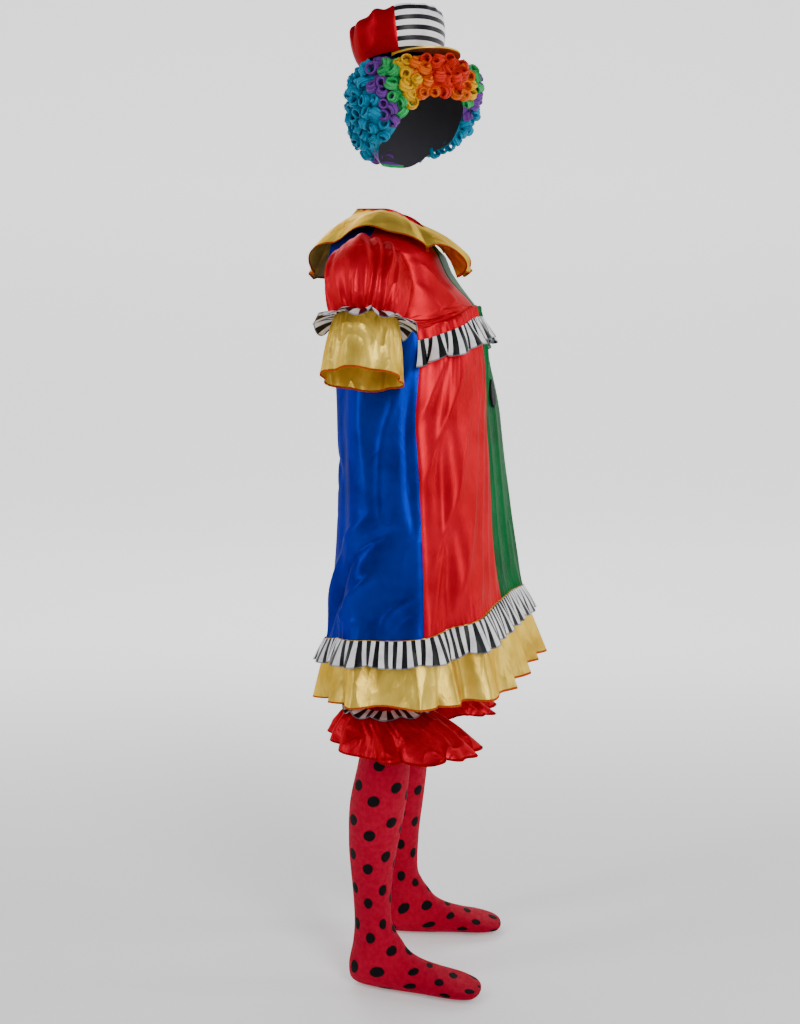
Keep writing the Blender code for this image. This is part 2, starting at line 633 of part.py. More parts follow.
def sleeve_ruffle(side, word):
    """The striped strip that stands out round the elastic."""
    angles = ring_angles(SLEEVE_RUFFLE["waves"] * 4)
    wave = SLEEVE_RUFFLE["wave"] * np.cos(SLEEVE_RUFFLE["waves"] * angles)
    root = ELASTIC_RADIUS + SLEEVE_RUFFLE["root"]
    reach = SLEEVE_RUFFLE["reach"] * (1 - 0.78 * np.maximum(0.0, -np.cos(angles)) ** 1.5)
    rows = [elastic_ring(side, angles, root, 0.0),
            elastic_ring(side, angles, root + reach, SLEEVE_RUFFLE["drop"] + wave)]
    grid = np.array(rows)
    centre, down = sleeve_frame(side)[:2]
    tube_wall(f"sleeve_ruffle_{word}", grid, STRIP, STRIPED, centre + down, twist="shoulders")


def sleeve_flounce(side, word):
    """The gold bell below the elastic."""
    angles = ring_angles(SLEEVE_FLOUNCE["waves"] * 6)
    rows = []
    for share in (0.0, 0.5, 1.0):
        radius = ELASTIC_RADIUS + (SLEEVE_FLOUNCE["radius"] - ELASTIC_RADIUS) * share**0.6
        wave = SLEEVE_FLOUNCE["wave"] * share * np.cos(SLEEVE_FLOUNCE["waves"] * angles)
        rows.append(elastic_ring(side, angles, radius + wave,
                                 GAP * 2 + SLEEVE_FLOUNCE["length"] * share))
    grid = np.array(rows)
    tube_wall(f"sleeve_flounce_{word}", grid, STRIP, GOLD, grid.mean(axis=1, keepdims=True),
              twist="shoulders")


for side, word in SIDES:
    sleeve(side, word)
    sleeve_ruffle(side, word)
    sleeve_flounce(side, word)


# ---------------------------------------------------------------- bloomers
def waistband():
    """The elastic band at the waist."""
    angles = ring_angles(24)
    ring = np.stack([-WAIST["half_width"] * np.sin(angles),
                     WAIST["y"] - WAIST["half_depth"] * np.cos(angles),
                     np.full(24, WAIST["top_z"])], axis=-1)
    grid = np.array([ring, ring - np.array([0.0, 0.0, WAIST["height"]])])
    tube_wall("bloomer_waistband", grid, SATIN, RED, grid.mean(axis=1, keepdims=True))


def bloomer(side, word, leg_y, knee_y):
    """One leg piece: half of the seat above the crotch, a tube below it."""
    outer_count, inner_count = 15, 5
    half_turn = np.linspace(0, math.pi, outer_count)
    tube_turn = np.radians(np.concatenate([np.linspace(-50, 230, outer_count),
                                           np.linspace(230, 310, inner_count + 2)[1:-1]]))
    rows, keep = [], []
    for row in BLOOMER_ROWS:
        z, half_width, front_y, back_y, leg_x, radius, tube = row
        middle, half_depth = (front_y + back_y) / 2, (back_y - front_y) / 2
        seat_x = np.concatenate([half_width * np.sin(half_turn) + GAP / 2,
                                 np.full(inner_count, 0.003)])
        seat_y = np.concatenate([middle - half_depth * np.cos(half_turn),
                                 np.linspace(back_y, front_y, inner_count + 2)[1:-1]])
        tube_y = middle + (knee_y - middle) * tube
        x = seat_x * (1 - tube) + (leg_x + radius * np.sin(tube_turn)) * tube
        y = seat_y * (1 - tube) + (tube_y - radius * np.cos(tube_turn)) * tube
        rows.append(np.stack([side * np.maximum(x, GAP / 2), y, np.full(len(x), z)], axis=-1))
        keep.append([True] * (outer_count - 1) + [z <= CROTCH_Z] * (inner_count + 1))
    grid = np.array(rows)
    inside = np.stack([np.array([side * 0.09, -0.045, row[0]]) for row in BLOOMER_ROWS])[:, None]
    normals = outward(grid, True, inside)
    normals[: 4, [0, outer_count - 1], 0] = 0.0
    normals = unit(normals)
    wall(f"bloomer_{word}", grid, grid - normals * SATIN, RED, closed=True, keep=keep)


def knee_ring(side, knee_y, angles, half_width, half_depth, x, z):
    """An oval ring round a knee."""
    return np.stack([side * x + half_width * np.sin(angles), knee_y - half_depth * np.cos(angles),
                     np.broadcast_to(z, angles.shape)], axis=-1)


def knee_ruffle(side, word, x, knee_y):
    """The striped strip that stands out round the knee elastic."""
    angles = ring_angles(KNEE_RUFFLE["waves"] * 4)
    wave = KNEE_RUFFLE["wave"] * np.cos(KNEE_RUFFLE["waves"] * angles)
    root = KNEE_RADIUS + 2 * STRIP
    far = root + KNEE_RUFFLE["reach"]
    grid = np.array([knee_ring(side, knee_y, angles, root, root, x, KNEE_ELASTIC_Z),
                     knee_ring(side, knee_y, angles, far, far, x,
                               KNEE_ELASTIC_Z - KNEE_RUFFLE["drop"] + wave)])
    tube_wall(f"knee_ruffle_{word}", grid, STRIP, STRIPED,
              np.array([side * x, knee_y, KNEE_ELASTIC_Z - 1.0]))


def knee_flounce(side, word, x, knee_y):
    """The red flounce below the knee elastic, narrower between the legs than along them."""
    angles = ring_angles(KNEE_FLOUNCE["waves"] * 4)
    rows = []
    for share in (0.0, 0.5, 1.0):
        wave = KNEE_FLOUNCE["wave"] * share * np.cos(KNEE_FLOUNCE["waves"] * angles)
        spread = share**0.75
        half_width = KNEE_RADIUS + (KNEE_FLOUNCE["half_width"] - KNEE_RADIUS) * spread + wave
        half_depth = KNEE_RADIUS + (KNEE_FLOUNCE["half_depth"] - KNEE_RADIUS) * spread + wave
        z = KNEE_ELASTIC_Z - 2 * GAP + (KNEE_FLOUNCE["z"] - KNEE_ELASTIC_Z) * share
        z = z + KNEE_FLOUNCE["tilt"] * share * (1 - np.cos(angles)) / 2
        rows.append(knee_ring(side, knee_y - KNEE_FLOUNCE["forward"] * share, angles, half_width,
                              half_depth, x + (KNEE_FLOUNCE["x"] - x) * share, z))
    grid = np.array(rows)
    tube_wall(f"knee_flounce_{word}", grid, STRIP, RED, grid.mean(axis=1, keepdims=True))


# ---------------------------------------------------------------- stockings
def stocking(side, word, x, y, knee_y, turn):
    """A stocking from above the knee elastic to the toe, its foot turned out."""
    turn_cos, turn_sin = math.cos(math.radians(turn)), math.sin(math.radians(turn))
    angles = ring_angles(14)
    rows = []
    for front_y, front_z, back_y, back_z, half_width in STOCKING_ROWS + ((*TOE, *TOE, 0.0),):
        ahead = (1 + np.cos(angles)) / 2
        local_y = back_y + (front_y - back_y) * ahead
        local_z = back_z + (front_z - back_z) * ahead
        local_x = half_width * np.sin(angles)
        rise = np.clip((local_z - ANKLE_Z) / (KNEE_Z - ANKLE_Z), 0.0, 1.0)
        lean = (knee_y - y) * rise * rise * (3 - 2 * rise)
        rows.append(np.stack([side * x + local_x * turn_cos - local_y * turn_sin,
                              y + lean + local_x * turn_sin + local_y * turn_cos,
                              local_z], axis=-1))
    grid = np.array(rows)
    inside = grid.mean(axis=1, keepdims=True)
    inner = grid - outward(grid, True, inside) * KNIT
    inner[-1] = grid[-1] + (grid[-3].mean(axis=0) - grid[-1]) * 0.15
    wall(f"stocking_{word}", grid, inner, RED, closed=True, roughness=0.8)


waistband()
for side, x, y, knee_y, turn in LEG_ROWS:
    word = "right" if side < 0 else "left"
    bloomer(side, word, y, knee_y)
    knee_ruffle(side, word, x, knee_y)
    knee_flounce(side, word, x, knee_y)
    stocking(side, word, x, y, knee_y, turn)


# ---------------------------------------------------------------- wig
def turned(points, angle, place):
    """Points turned about the upright by an angle and moved to a place."""
    cosine, sine = math.cos(angle), math.sin(angle)
    x, y = points[..., 0], points[..., 1]
    spun = np.stack([x * cosine - y * sine, x * sine + y * cosine, points[..., 2]], axis=-1)
    return spun + np.array(place)


def below_hat(points):
    """Wig points, in the head's own frame, pulled in where they would reach into the hat."""
    seat = turned(np.array(HAT_BASE) - np.array(HEAD), -HEAD_TURN, (0.0, 0.0, 0.0))
    up = np.array([0.0, math.sin(HAT_TILT), math.cos(HAT_TILT)])
    ahead = np.array([0.0, -math.cos(HAT_TILT), math.sin(HAT_TILT)])
    forward = (points - seat) @ ahead
    limit = seat @ up - np.where(forward < PEAK_SEAT_FROM, HAT_SEAT, PEAK_SEAT)
    height = np.maximum(points @ up, 1e-6)
    return points * np.minimum(1.0, limit / height)[..., None]


def wig():
    """A cap with curls raised on its outside; its edge runs high over the face, low behind."""
    columns, rows = 30, 12
    angles = ring_angles(columns)
    around = np.degrees(np.where(angles > math.pi, 2 * math.pi - angles, angles))
    turns = column(WIG_EDGE_COLUMNS, WIG_EDGE_ROWS, "angle")
    heights = column(WIG_EDGE_COLUMNS, WIG_EDGE_ROWS, "z")
    edge = np.array([smooth_between(turns, heights, at) for at in around])
    last = np.arccos(edge / np.where(edge < 0, HEAD_LOW_RADIUS, HEAD_RADII[2]))
    share = np.linspace(0, 1, rows)[:, None]
    polar = share * last[None, :]
    way = np.stack([-np.sin(polar) * np.sin(angles), -np.sin(polar) * np.cos(angles),
                    np.cos(polar)], axis=-1)
    low = (way[..., 2:] < 0) * np.array([0.0, 0.0, 1.0])
    inner = way * (np.array(HEAD_RADII) + low * (HEAD_LOW_RADIUS - HEAD_RADII[2]))
    checker = np.where((np.arange(rows)[:, None] + np.arange(columns)[None]) % 2, 1.0, -1.0)
    full = way * (np.array(WIG_RADII) + low * (WIG_LOW_RADIUS - WIG_RADII[2])
                  + CURL_HEIGHT * checker[..., None])
    full[0] = way[0] * np.array(WIG_RADII)
    level, rise = np.hypot(way[..., 0], way[..., 1]), np.maximum(way[..., 2], 0.0)
    squared = (level**WIG_SQUARENESS + rise**WIG_SQUARENESS) ** (-1 / WIG_SQUARENESS)
    full = full * np.where(rise > 0, squared, 1.0)[..., None]
    full = below_hat(full)
    swell = (1 - share**10 * 0.70)[..., None]
    outer = inner + (full - inner) * swell
    wall("wig", turned(outer, HEAD_TURN, HEAD), turned(inner, HEAD_TURN, HEAD), RED,
         closed=True, roughness=0.7, twist=None)


# ---------------------------------------------------------------- hat
def hat_place(points):
    """Hat points tilted back, turned with the head and moved to their place."""
    cosine, sine = math.cos(HAT_TILT), math.sin(HAT_TILT)
    y, z = points[..., 1], points[..., 2]
    tilted = np.stack([points[..., 0], y * cosine + z * sine, z * cosine - y * sine], axis=-1)
    return turned(tilted, HEAD_TURN, HAT_BASE)


def hat_gore(name, middle, colour):
    """One of four gores: up the side and in to the middle of the top."""
    angles = np.radians(np.linspace(middle - 45, middle + 45, 9))
    rows = []
    for radius, height in HAT_ROWS:
        inset = GAP / 2 / radius
        spread = angles.copy()
        spread[0] += inset
        spread[-1] -= inset
        lower = 1 - HAT_DROOP * (1 - np.cos(spread) * radius / HAT_ROWS[0][0]) / 2
        rows.append(np.stack([radius * np.sin(spread), -radius * np.cos(spread),
                              height * lower], axis=-1))
    grid = np.array(rows)
    normals = outward(grid, False, np.array([0.0, 0.0, 0.03]))
    for edge, angle in ((0, angles[0]), (-1, angles[-1])):
        square = np.array([math.cos(angle), math.sin(angle), 0.0])
        normals[:, edge] -= (normals[:, edge] @ square)[:, None] * square
    normals = unit(normals)
    wall(name, hat_place(grid), hat_place(grid - normals * SATIN), colour, twist=None)


def hat_peak():
    """The stiff peak, a crescent below the front of the crown."""
    angles = np.linspace(-1, 1, 13)
    turn = np.radians(PEAK_ANGLE) * angles
    reach = 0.004 + PEAK_LENGTH * np.cos(angles * math.pi / 2) ** 0.7
    share = np.array([0.0, 0.5, 1.0])[:, None]
    radius = HAT_ROWS[0][0] - 0.004 + reach * share
    top = np.stack([radius * np.sin(turn), -radius * np.cos(turn),
                    -GAP / 2 - PEAK_DROP * share**1.5 * np.cos(turn * 0.8)], axis=-1)
    wall("hat_peak", hat_place(top), hat_place(top - np.array([0, 0, PEAK_THICKNESS])), GOLD,
         twist=None)


wig()
hat_gore("hat_gore_front", 0, STRIPED)
hat_gore("hat_gore_right", -90, RED)
hat_gore("hat_gore_back", 180, BLUE)
hat_gore("hat_gore_left", 90, BLUE)
hat_peak()
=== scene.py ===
"""Clown costume as worn: a satin dress with collar, puff sleeves and flounces, bloomers, dotted
stockings, a curly wig and a peaked cap. Metres, +Z up; the wearer faces -Y and the origin is the
middle of the neck base. Heights in the tables are above the floor, NECK_HEIGHT below the origin."""
import math

import bpy
import mathutils
import numpy as np
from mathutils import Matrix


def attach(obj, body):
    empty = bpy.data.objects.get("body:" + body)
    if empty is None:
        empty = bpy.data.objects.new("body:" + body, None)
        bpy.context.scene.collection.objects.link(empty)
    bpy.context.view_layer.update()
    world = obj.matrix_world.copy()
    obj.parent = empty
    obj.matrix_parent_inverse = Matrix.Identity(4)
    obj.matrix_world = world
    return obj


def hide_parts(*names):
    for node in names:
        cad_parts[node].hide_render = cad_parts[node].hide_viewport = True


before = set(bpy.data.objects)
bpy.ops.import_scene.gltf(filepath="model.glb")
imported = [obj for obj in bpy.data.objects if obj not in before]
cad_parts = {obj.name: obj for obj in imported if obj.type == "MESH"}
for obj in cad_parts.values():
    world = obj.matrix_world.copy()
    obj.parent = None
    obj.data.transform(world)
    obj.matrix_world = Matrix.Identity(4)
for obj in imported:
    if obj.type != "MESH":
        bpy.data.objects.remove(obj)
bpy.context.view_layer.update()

# ---- View, floor and light
# The costume is seen from its right side, a little from the front, by a camera that looks a few
# degrees down and is shifted to take in the feet. The floor and the backdrop are pale, with tall
# soft lamps.
NECK_HEIGHT = 1.365
FLOOR_Z = -NECK_HEIGHT - 0.0005
BEARING, LOOK_DOWN = math.radians(-72), math.radians(2.074)
DISTANCE, EYE_HEIGHT, AIM_AHEAD = 2.3904, 1.2110, 0.0185
LENS, SHIFT = 45.49, -0.150


def look_at(obj, target):
    """Turn an object so that its -Z axis points from where it is to the target."""
    way = mathutils.Vector(target) - obj.location
    obj.rotation_euler = way.to_track_quat("-Z", "Y").to_euler()


camera = bpy.data.objects.new("camera", bpy.data.cameras.new("camera"))
camera.data.lens, camera.data.shift_y = LENS, SHIFT
bpy.context.collection.objects.link(camera)
behind = np.array([-math.sin(BEARING), math.cos(BEARING)])
beside = np.array([math.cos(BEARING), math.sin(BEARING)])
aim = np.array([*(AIM_AHEAD * beside), EYE_HEIGHT - NECK_HEIGHT])
camera.location = aim - DISTANCE * np.array([*behind, 0.0])
look_at(camera, aim - np.array([0.0, 0.0, DISTANCE * math.tan(LOOK_DOWN)]))
bpy.context.scene.camera = camera

# Upright strip lamps: name, place, target, (width, height), watts.
for name, place, target, size, watts in (
        ("lamp_key", (-2.4, -2.3, 0.9), (0.0, 0.0, -0.40), (1.3, 2.2), 78.0),
        ("lamp_side", (-1.9, 2.2, 0.5), (0.0, 0.0, -0.5), (0.4, 2.0), 26.0),
        ("lamp_front", (0.9, -3.0, 0.3), (0.0, 0.0, -0.5), (0.4, 2.2), 20.0),
        ("lamp_back", (2.6, 1.6, 1.2), (0.0, 0.0, -0.4), (1.4, 1.4), 22.0)):
    light = bpy.data.lights.new(name, "AREA")
    light.shape, light.energy = "RECTANGLE", watts
    light.size, light.size_y = size
    holder = bpy.data.objects.new(name, light)
    bpy.context.collection.objects.link(holder)
    holder.location = place
    look_at(holder, target)
world = bpy.data.worlds.new("studio")
world.use_nodes = True
air = world.node_tree.nodes["Background"].inputs
air["Color"].default_value, air["Strength"].default_value = (0.95, 0.96, 1.0, 1.0), 0.18
bpy.context.scene.world = world

# The floor and the backdrop are one sheet: flat, then a quarter circle up, then upright.
FLOOR_FRONT, FLOOR_BACK, BEND, SHEET_HALF, SHEET_TOP = -20.0, 4.0, 2.0, 30.0, 9.0
profile = [(FLOOR_FRONT, FLOOR_Z)]
profile += [(FLOOR_BACK + BEND * math.sin(a), FLOOR_Z + BEND * (1 - math.cos(a)))
            for a in np.linspace(0, math.pi / 2, 12)]
profile.append((FLOOR_BACK + BEND, SHEET_TOP))
corners = [(*(behind * far + beside * wide), z)
           for far, z in profile for wide in (-SHEET_HALF, SHEET_HALF)]
floor_mesh = bpy.data.meshes.new("floor")
floor_mesh.from_pydata(corners, [], [(k, k + 1, k + 3, k + 2) for k in range(0, len(corners) - 2, 2)])
floor_mesh.shade_smooth()
floor = bpy.data.objects.new("floor", floor_mesh)
bpy.context.collection.objects.link(floor)


class Shade:
    """A shader socket used like a number: an expression on it adds the Math nodes it needs."""

    def __init__(self, finish, socket):
        self.finish, self.socket = finish, socket

    def math(self, operation, *terms):
        """One Math node on this socket and the other terms."""
        return self.finish.node("ShaderNodeMath", {"operation": operation},
                                dict(enumerate((self, *terms))))

    def __add__(self, other): return self.math("ADD", other)
    __radd__ = __add__
    def __mul__(self, other): return self.math("MULTIPLY", other)
    __rmul__ = __mul__
    def __sub__(self, other): return self.math("SUBTRACT", other)
    def __rsub__(self, other): return (self * -1.0) + other

    def between(self, low, high):
        """0 below low, 1 above high, smooth in between."""
        return self.finish.node("ShaderNodeMapRange", {"interpolation_type": "SMOOTHSTEP"},
                                {0: self, 1: low, 2: high, 3: 0.0, 4: 1.0})


class Finish:
    """A material that is being put together round one Principled shader."""

    def __init__(self, name, **sockets):
        self.material = bpy.data.materials.new(name)
        self.material.use_nodes = True
        self.tree = self.material.node_tree
        self.shader = self.tree.nodes["Principled BSDF"]
        for key, value in sockets.items():
            self.feed(self.shader.inputs[key.replace("_", " ")], value)

    def feed(self, socket, value):
        """Link a Shade to a socket, or set the socket to a value."""
        if isinstance(value, Shade):
            self.tree.links.new(value.socket, socket)
        elif isinstance(value, tuple) and len(value) == 3 and socket.type == "RGBA":
            socket.default_value = (*value, 1.0)
        else:
            socket.default_value = value

    def node(self, kind, settings=None, sockets=None, output=0):
        """Add a node: its settings first, then its sockets' values or links. Returns one output."""
        new = self.tree.nodes.new(kind)
        for key, value in (settings or {}).items():
            setattr(new, key, value)
        for key, value in (sockets or {}).items():
            self.feed(new.inputs[key], value)
        return Shade(self, new.outputs[output])

    def mix(self, share, a, b):
        """Colour a where share is 0, colour b where it is 1."""
        return self.node("ShaderNodeMix", {"data_type": "RGBA"}, {0: share, 6: a, 7: b}, 2)

    def noise(self, place, scale, detail=2.0, rough=0.5, distort=0.0):
        """Soft noise from 0 to 1 at a place."""
        return self.node("ShaderNodeTexNoise", None, {"Vector": place, "Scale": scale,
                         "Detail": detail, "Roughness": rough, "Distortion": distort})

    def stretched(self, place, scale, turn=(0.0, 0.0, 0.0)):
        """A place whose axes are turned and then scaled one by one."""
        return self.node("ShaderNodeMapping", None,
                         {"Vector": place, "Scale": scale, "Rotation": turn})

    def solid_place(self):
        """The place in the piece's own space."""
        return self.node("ShaderNodeTexCoord", None, None, 3)

    def cloth_place(self):
        """The cloth's own lengths in metres, as a vector, the length along and the one up from
        the free edge."""
        place = self.node("ShaderNodeUVMap", {"uv_map": "cloth"})
        along = self.node("ShaderNodeSeparateXYZ", None, {0: place}, 0)
        return place, along, self.node("ShaderNodeSeparateXYZ", None, {0: place}, 1)

    def coat(self, tone, gloss):
        """Feed the shader's base colour and roughness."""
        self.feed(self.shader.inputs["Base Color"], tone)
        self.feed(self.shader.inputs["Roughness"], gloss)

    def relief(self, *layers):
        """Feed the shader's normal from (height, depth in metres) layers laid over each other."""
        normal = None
        for height, depth in layers:
            sockets = {"Height": height, "Distance": depth, "Strength": 1.0}
            if normal is not None:
                sockets["Normal"] = normal
            normal = self.node("ShaderNodeBump", None, sockets)
        self.feed(self.shader.inputs["Normal"], normal)


# The sheet glows evenly behind the costume and little in front of it, so the folds keep their shade.
paint = Finish("floor_paint", Base_Color=(0.92, 0.92, 0.93), Roughness=0.8, Specular_IOR_Level=0.2,
               Emission_Strength=1.05)
far = paint.node("ShaderNodeVectorMath", {"operation": "DOT_PRODUCT"},
                 {0: paint.solid_place(), 1: (*behind, 0.0)}, 1)
paint.feed(paint.shader.inputs["Emission Color"],
           paint.mix(far.between(0.2, 2.4), (0.18, 0.18, 0.18), (1.0, 1.0, 1.0)))
floor.data.materials.append(paint.material)

# ---- Dress fronts and back
# Right front red, left front green, back blue, all of thin polyester satin. Each front is cut in
# two at the raised waist, where its skirt is gathered in; the back is one long panel a side.
# The seams are overlocked inside, so outside they show as a fine groove.
SATIN_WALL, STRIP_WALL = 0.0011, 0.0010
THREAD_SCALE, EDGE_WIDTH = (900.0, 5200.0, 1.0), 0.0036
NECK_SIDE, NECK_SIDE_Z = 0.065, 1.388
NECK_FRONT_Y, NECK_FRONT_Z, NECK_BACK_Y, NECK_BACK_Z = -0.070, 1.345, 0.060, 1.392
SHOULDER_TIP, SHOULDER_RISE = (0.165, 0.0025, 1.335), 0.008
ARMHOLE_Y, ARMHOLE_Z, ARMHOLE_DEPTH, ARMHOLE_HEIGHT, ARMHOLE_LEAN = -0.008, 1.265, 0.062, 0.070, 0.15
DRESS_COLUMNS = ("row", "front_z", "side_z", "back_z", "front_y", "back_y", "half_width",
                 "squareness", "seam_y")
DRESS_ROWS = np.array((
    (1, 1.318, 1.310, 1.335, -0.088, 0.086, 0.166, 5.0, -0.020),
    (2, 1.272, 1.265, 1.285, -0.110, 0.094, 0.172, 4.0, -0.020),
    (3, 1.235, 1.195, 1.220, -0.144, 0.092, 0.175, 3.0, -0.0185),
    (4, 1.220, 1.178, 1.195, -0.156, 0.088, 0.177, 2.7, -0.070),
    (5, 1.203, 1.160, 1.160, -0.166, 0.084, 0.180, 2.6, -0.084),
    (6, 1.040, 1.010, 1.010, -0.180, 0.072, 0.198, 2.5, -0.108),
    (7, 0.890, 0.880, 0.875, -0.190, 0.068, 0.215, 2.4, -0.121),
    (8, 0.790, 0.770, 0.740, -0.198, 0.072, 0.230, 2.4, -0.129),
    (9, 0.694, 0.664, 0.622, -0.214, 0.086, 0.245, 2.3, -0.135),
    (10, 0.556, 0.558, 0.520, -0.252, 0.106, 0.272, 2.2, -0.145)))
ARMPIT_ROW, EMPIRE_ROW, HEM_ROW, FLOUNCE_ROW = 3, 5, 9, 10
# Large falls of the cloth: angle at the raised waist and at the hem, width, depths, first row.
FALLS = (
    (38, 30, 13, 0.010, 0.018, 3.6), (53, 46, 7, -0.004, -0.012, 5.0), (68, 62, 9, 0.002, 0.008, 5.0),
    (112, 104, 12, 0.003, 0.013, 4.0), (132, 127, 9, -0.003, -0.011, 4.0),
    (154, 150, 9, 0.003, 0.008, 3.0), (-38, -36, 14, 0.012, 0.037, 3.6),
    (-60, -56, 8, -0.003, -0.011, 5.0), (-74, -70, 9, 0.002, 0.008, 5.0),
    (-108, -112, 12, 0.003, 0.012, 4.0), (-130, -131, 8, -0.003, -0.011, 4.0),
    (-152, -151, 9, 0.003, 0.009, 3.0))
TWIST, TWIST_LOW_Z, TWIST_HIGH_Z = math.radians(7), 1.00, 1.17
RED, GREEN, BLUE = (0.62, 0.005, 0.022), (0.0, 0.150, 0.040), (0.0, 0.022, 0.33)
UPRIGHT, AXIS = np.array([0.0, 0.0, 1.0]), np.array([0.0, -0.05, 0.0])


def smooth_between(stations, values, at):
    """A cubic Hermite curve through values, or rows of values, at stations, with the slopes of
    their neighbours."""
    slopes = np.gradient(values, stations, axis=0)
    at = np.clip(at, stations[0], stations[-1])
    i = np.clip(np.searchsorted(stations, at, side="right") - 1, 0, len(stations) - 2)
    step = stations[i + 1] - stations[i]
    t = (at - stations[i]) / step
    if values.ndim > 1:
        t, step = t[..., None], step[..., None]
    return ((2 * t**3 - 3 * t**2 + 1) * values[i] + (t**3 - 2 * t**2 + t) * step * slopes[i]
            + (3 * t**2 - 2 * t**3) * values[i + 1] + (t**3 - t**2) * step * slopes[i + 1])


def dress_value(name, row):
    """A column of the dress table between its rows."""
    return smooth_between(DRESS_ROWS[:, 0], DRESS_ROWS[:, DRESS_COLUMNS.index(name)], row)


def unit(vectors):
    """Vectors scaled to length 1."""
    return vectors / np.maximum(np.linalg.norm(vectors, axis=-1, keepdims=True), 1e-12)


def bell(apart, width):
    """1 in the middle, falling off to both sides: e to the minus square of apart over width."""
    return np.exp(-((apart / width) ** 2))


def fade(way, length):
    """1 at the start, falling off with the way: e to the minus way over length."""
    return np.exp(-way / length)


def eased(share):
    """A share from 0 to 1, level at both ends."""
    return share * share * (3 - 2 * share)


def turned(points, angle):
    """Points turned about the upright by an angle."""
    x, y = points[..., 0], points[..., 1]
    return np.stack([x * np.cos(angle) - y * np.sin(angle), x * np.sin(angle) + y * np.cos(angle),
                     points[..., 2]], axis=-1)


def upright_oval(angle, half_x, half_y, z):
    """Points round the upright by angle from the front towards +X."""
    places = half_x * np.sin(angle), -half_y * np.cos(angle), z
    return np.stack(np.broadcast_arrays(*places), axis=-1)


def dress_points(angle, row):
    """A dress section: a super-ellipse by angle from the front, moved out by the falls, each a
    Gauss bell across its angle."""
    front, back = dress_value("front_y", row), dress_value("back_y", row)
    power = 2.0 / dress_value("squareness", row)
    sine, cosine = np.sin(angle), np.cos(angle)
    x = -dress_value("half_width", row) * np.sign(sine) * np.abs(sine) ** power
    y = -(back - front) / 2 * np.sign(cosine) * np.abs(cosine) ** power
    side_z = dress_value("side_z", row)
    end_z = np.where(cosine > 0, dress_value("front_z", row), dress_value("back_z", row))
    fall = np.maximum((row - EMPIRE_ROW) / (FLOUNCE_ROW - EMPIRE_ROW), 0.0)
    depth = np.zeros_like(angle)
    for top, hem, width, top_depth, hem_depth, first in FALLS:
        apart = (np.degrees(angle) - top - (hem - top) * fall + 180.0) % 360.0 - 180.0
        depth += (np.clip((row - first) / 1.4, 0.0, 1.0) * (top_depth + (hem_depth - top_depth) * fall)
                  * bell(apart, width))
    away = unit(np.stack([x, y], axis=-1)) * depth[..., None]
    return np.stack([x + away[..., 0], (front + back) / 2 + y + away[..., 1],
                     side_z + (end_z - side_z) * cosine**2], axis=-1)


def edge_angle(row, part):
    """Where a panel ends in a section: on the armhole's ellipse above the armpit, else on the
    side seam."""
    y = float(dress_value("seam_y", row))
    if row < ARMPIT_ROW:
        height = (float(dress_value("side_z", row)) - ARMHOLE_Z) / ARMHOLE_HEIGHT
        half = ARMHOLE_DEPTH * math.sqrt(max(0.0, 1.0 - height**2))
        y = ARMHOLE_Y + ARMHOLE_LEAN * ARMHOLE_HEIGHT * height + (-half if part == "front" else half)
    front, back = float(dress_value("front_y", row)), float(dress_value("back_y", row))
    share = ((front + back) / 2 - y) / ((back - front) / 2)
    share = math.copysign(abs(share) ** (float(dress_value("squareness", row)) / 2), share)
    return math.acos(min(1.0, max(-1.0, share)))


def lengths_along(line):
    """The length from a line's start to each of its points."""
    return np.concatenate([[0.0], np.cumsum(np.linalg.norm(np.diff(line, axis=0), axis=1))])


def spaced(points_at, start, end, shares):
    """Points of a curve at given shares of its length."""
    dense = np.linspace(start, end, 300)
    length = lengths_along(points_at(dense))
    return points_at(np.interp(shares * length[-1], length, dense))


def neckline(angle):
    """The neckline by angle from the front: two half ellipses whose height follows the cosine
    squared."""
    cosine = np.cos(angle)
    end_y = np.where(cosine > 0, -NECK_FRONT_Y, NECK_BACK_Y)
    end_z = np.where(cosine > 0, NECK_FRONT_Z, NECK_BACK_Z)
    return upright_oval(-angle, NECK_SIDE, end_y, NECK_SIDE_Z + (end_z - NECK_SIDE_Z) * cosine**2)


def panel_row(part, side, shares, row):
    """A row of a panel from its centre (0) to its side (1). Above row 1 it is mixed with the top
    edge, half neckline and half shoulder seam, and rounded over the shoulder."""
    centre = 0.0 if part == "front" else math.pi
    low = max(row, 1.0)
    section = spaced(lambda a: dress_points(a, low), -side * centre, -side * edge_angle(low, part),
                     shares)
    if row >= 1.0:
        return section
    neck = spaced(neckline, centre, math.pi / 2, np.clip(shares * 2, 0, 1))
    tip, corner = np.array(SHOULDER_TIP) * (-1, 1, 1), np.array([-NECK_SIDE, 0.0, NECK_SIDE_Z])
    along = np.clip(shares * 2 - 1, 0, 1)[:, None]
    top = np.where(along > 0, corner + along * (tip - corner), neck)
    top[:, 0] *= -side
    mixed = top + (section - top) * row
    mixed[:, 2] += SHOULDER_RISE * 4 * row * (1 - row) * shares
    return mixed


def worn(points, fully=False):
    """Points turned with the shoulders about the upright, dress points more the higher they are;
    then heights above the floor become heights from the neck base."""
    rise = np.clip((points[..., 2] - TWIST_LOW_Z) / (TWIST_HIGH_Z - TWIST_LOW_Z), 0.0, 1.0)
    return turned(points, TWIST * (1.0 if fully else eased(rise))) - UPRIGHT * NECK_HEIGHT


def along_rows(grid, around):
    """The unit direction of a line, or of a grid's rows, at each point."""
    axis = grid.ndim - 2
    if around:
        return unit(np.roll(grid, -1, axis=axis) - np.roll(grid, 1, axis=axis))
    return unit(np.gradient(grid, axis=axis))


def grid_normals(grid, around, inside):
    """Unit normals of a grid of points, from the cross product of its two directions, turned away
    from the inside points."""
    normals = unit(np.cross(along_rows(grid, around), np.gradient(grid, axis=0)))
    return normals * (1.0 if np.sum(normals * (grid - inside)) > 0 else -1.0)


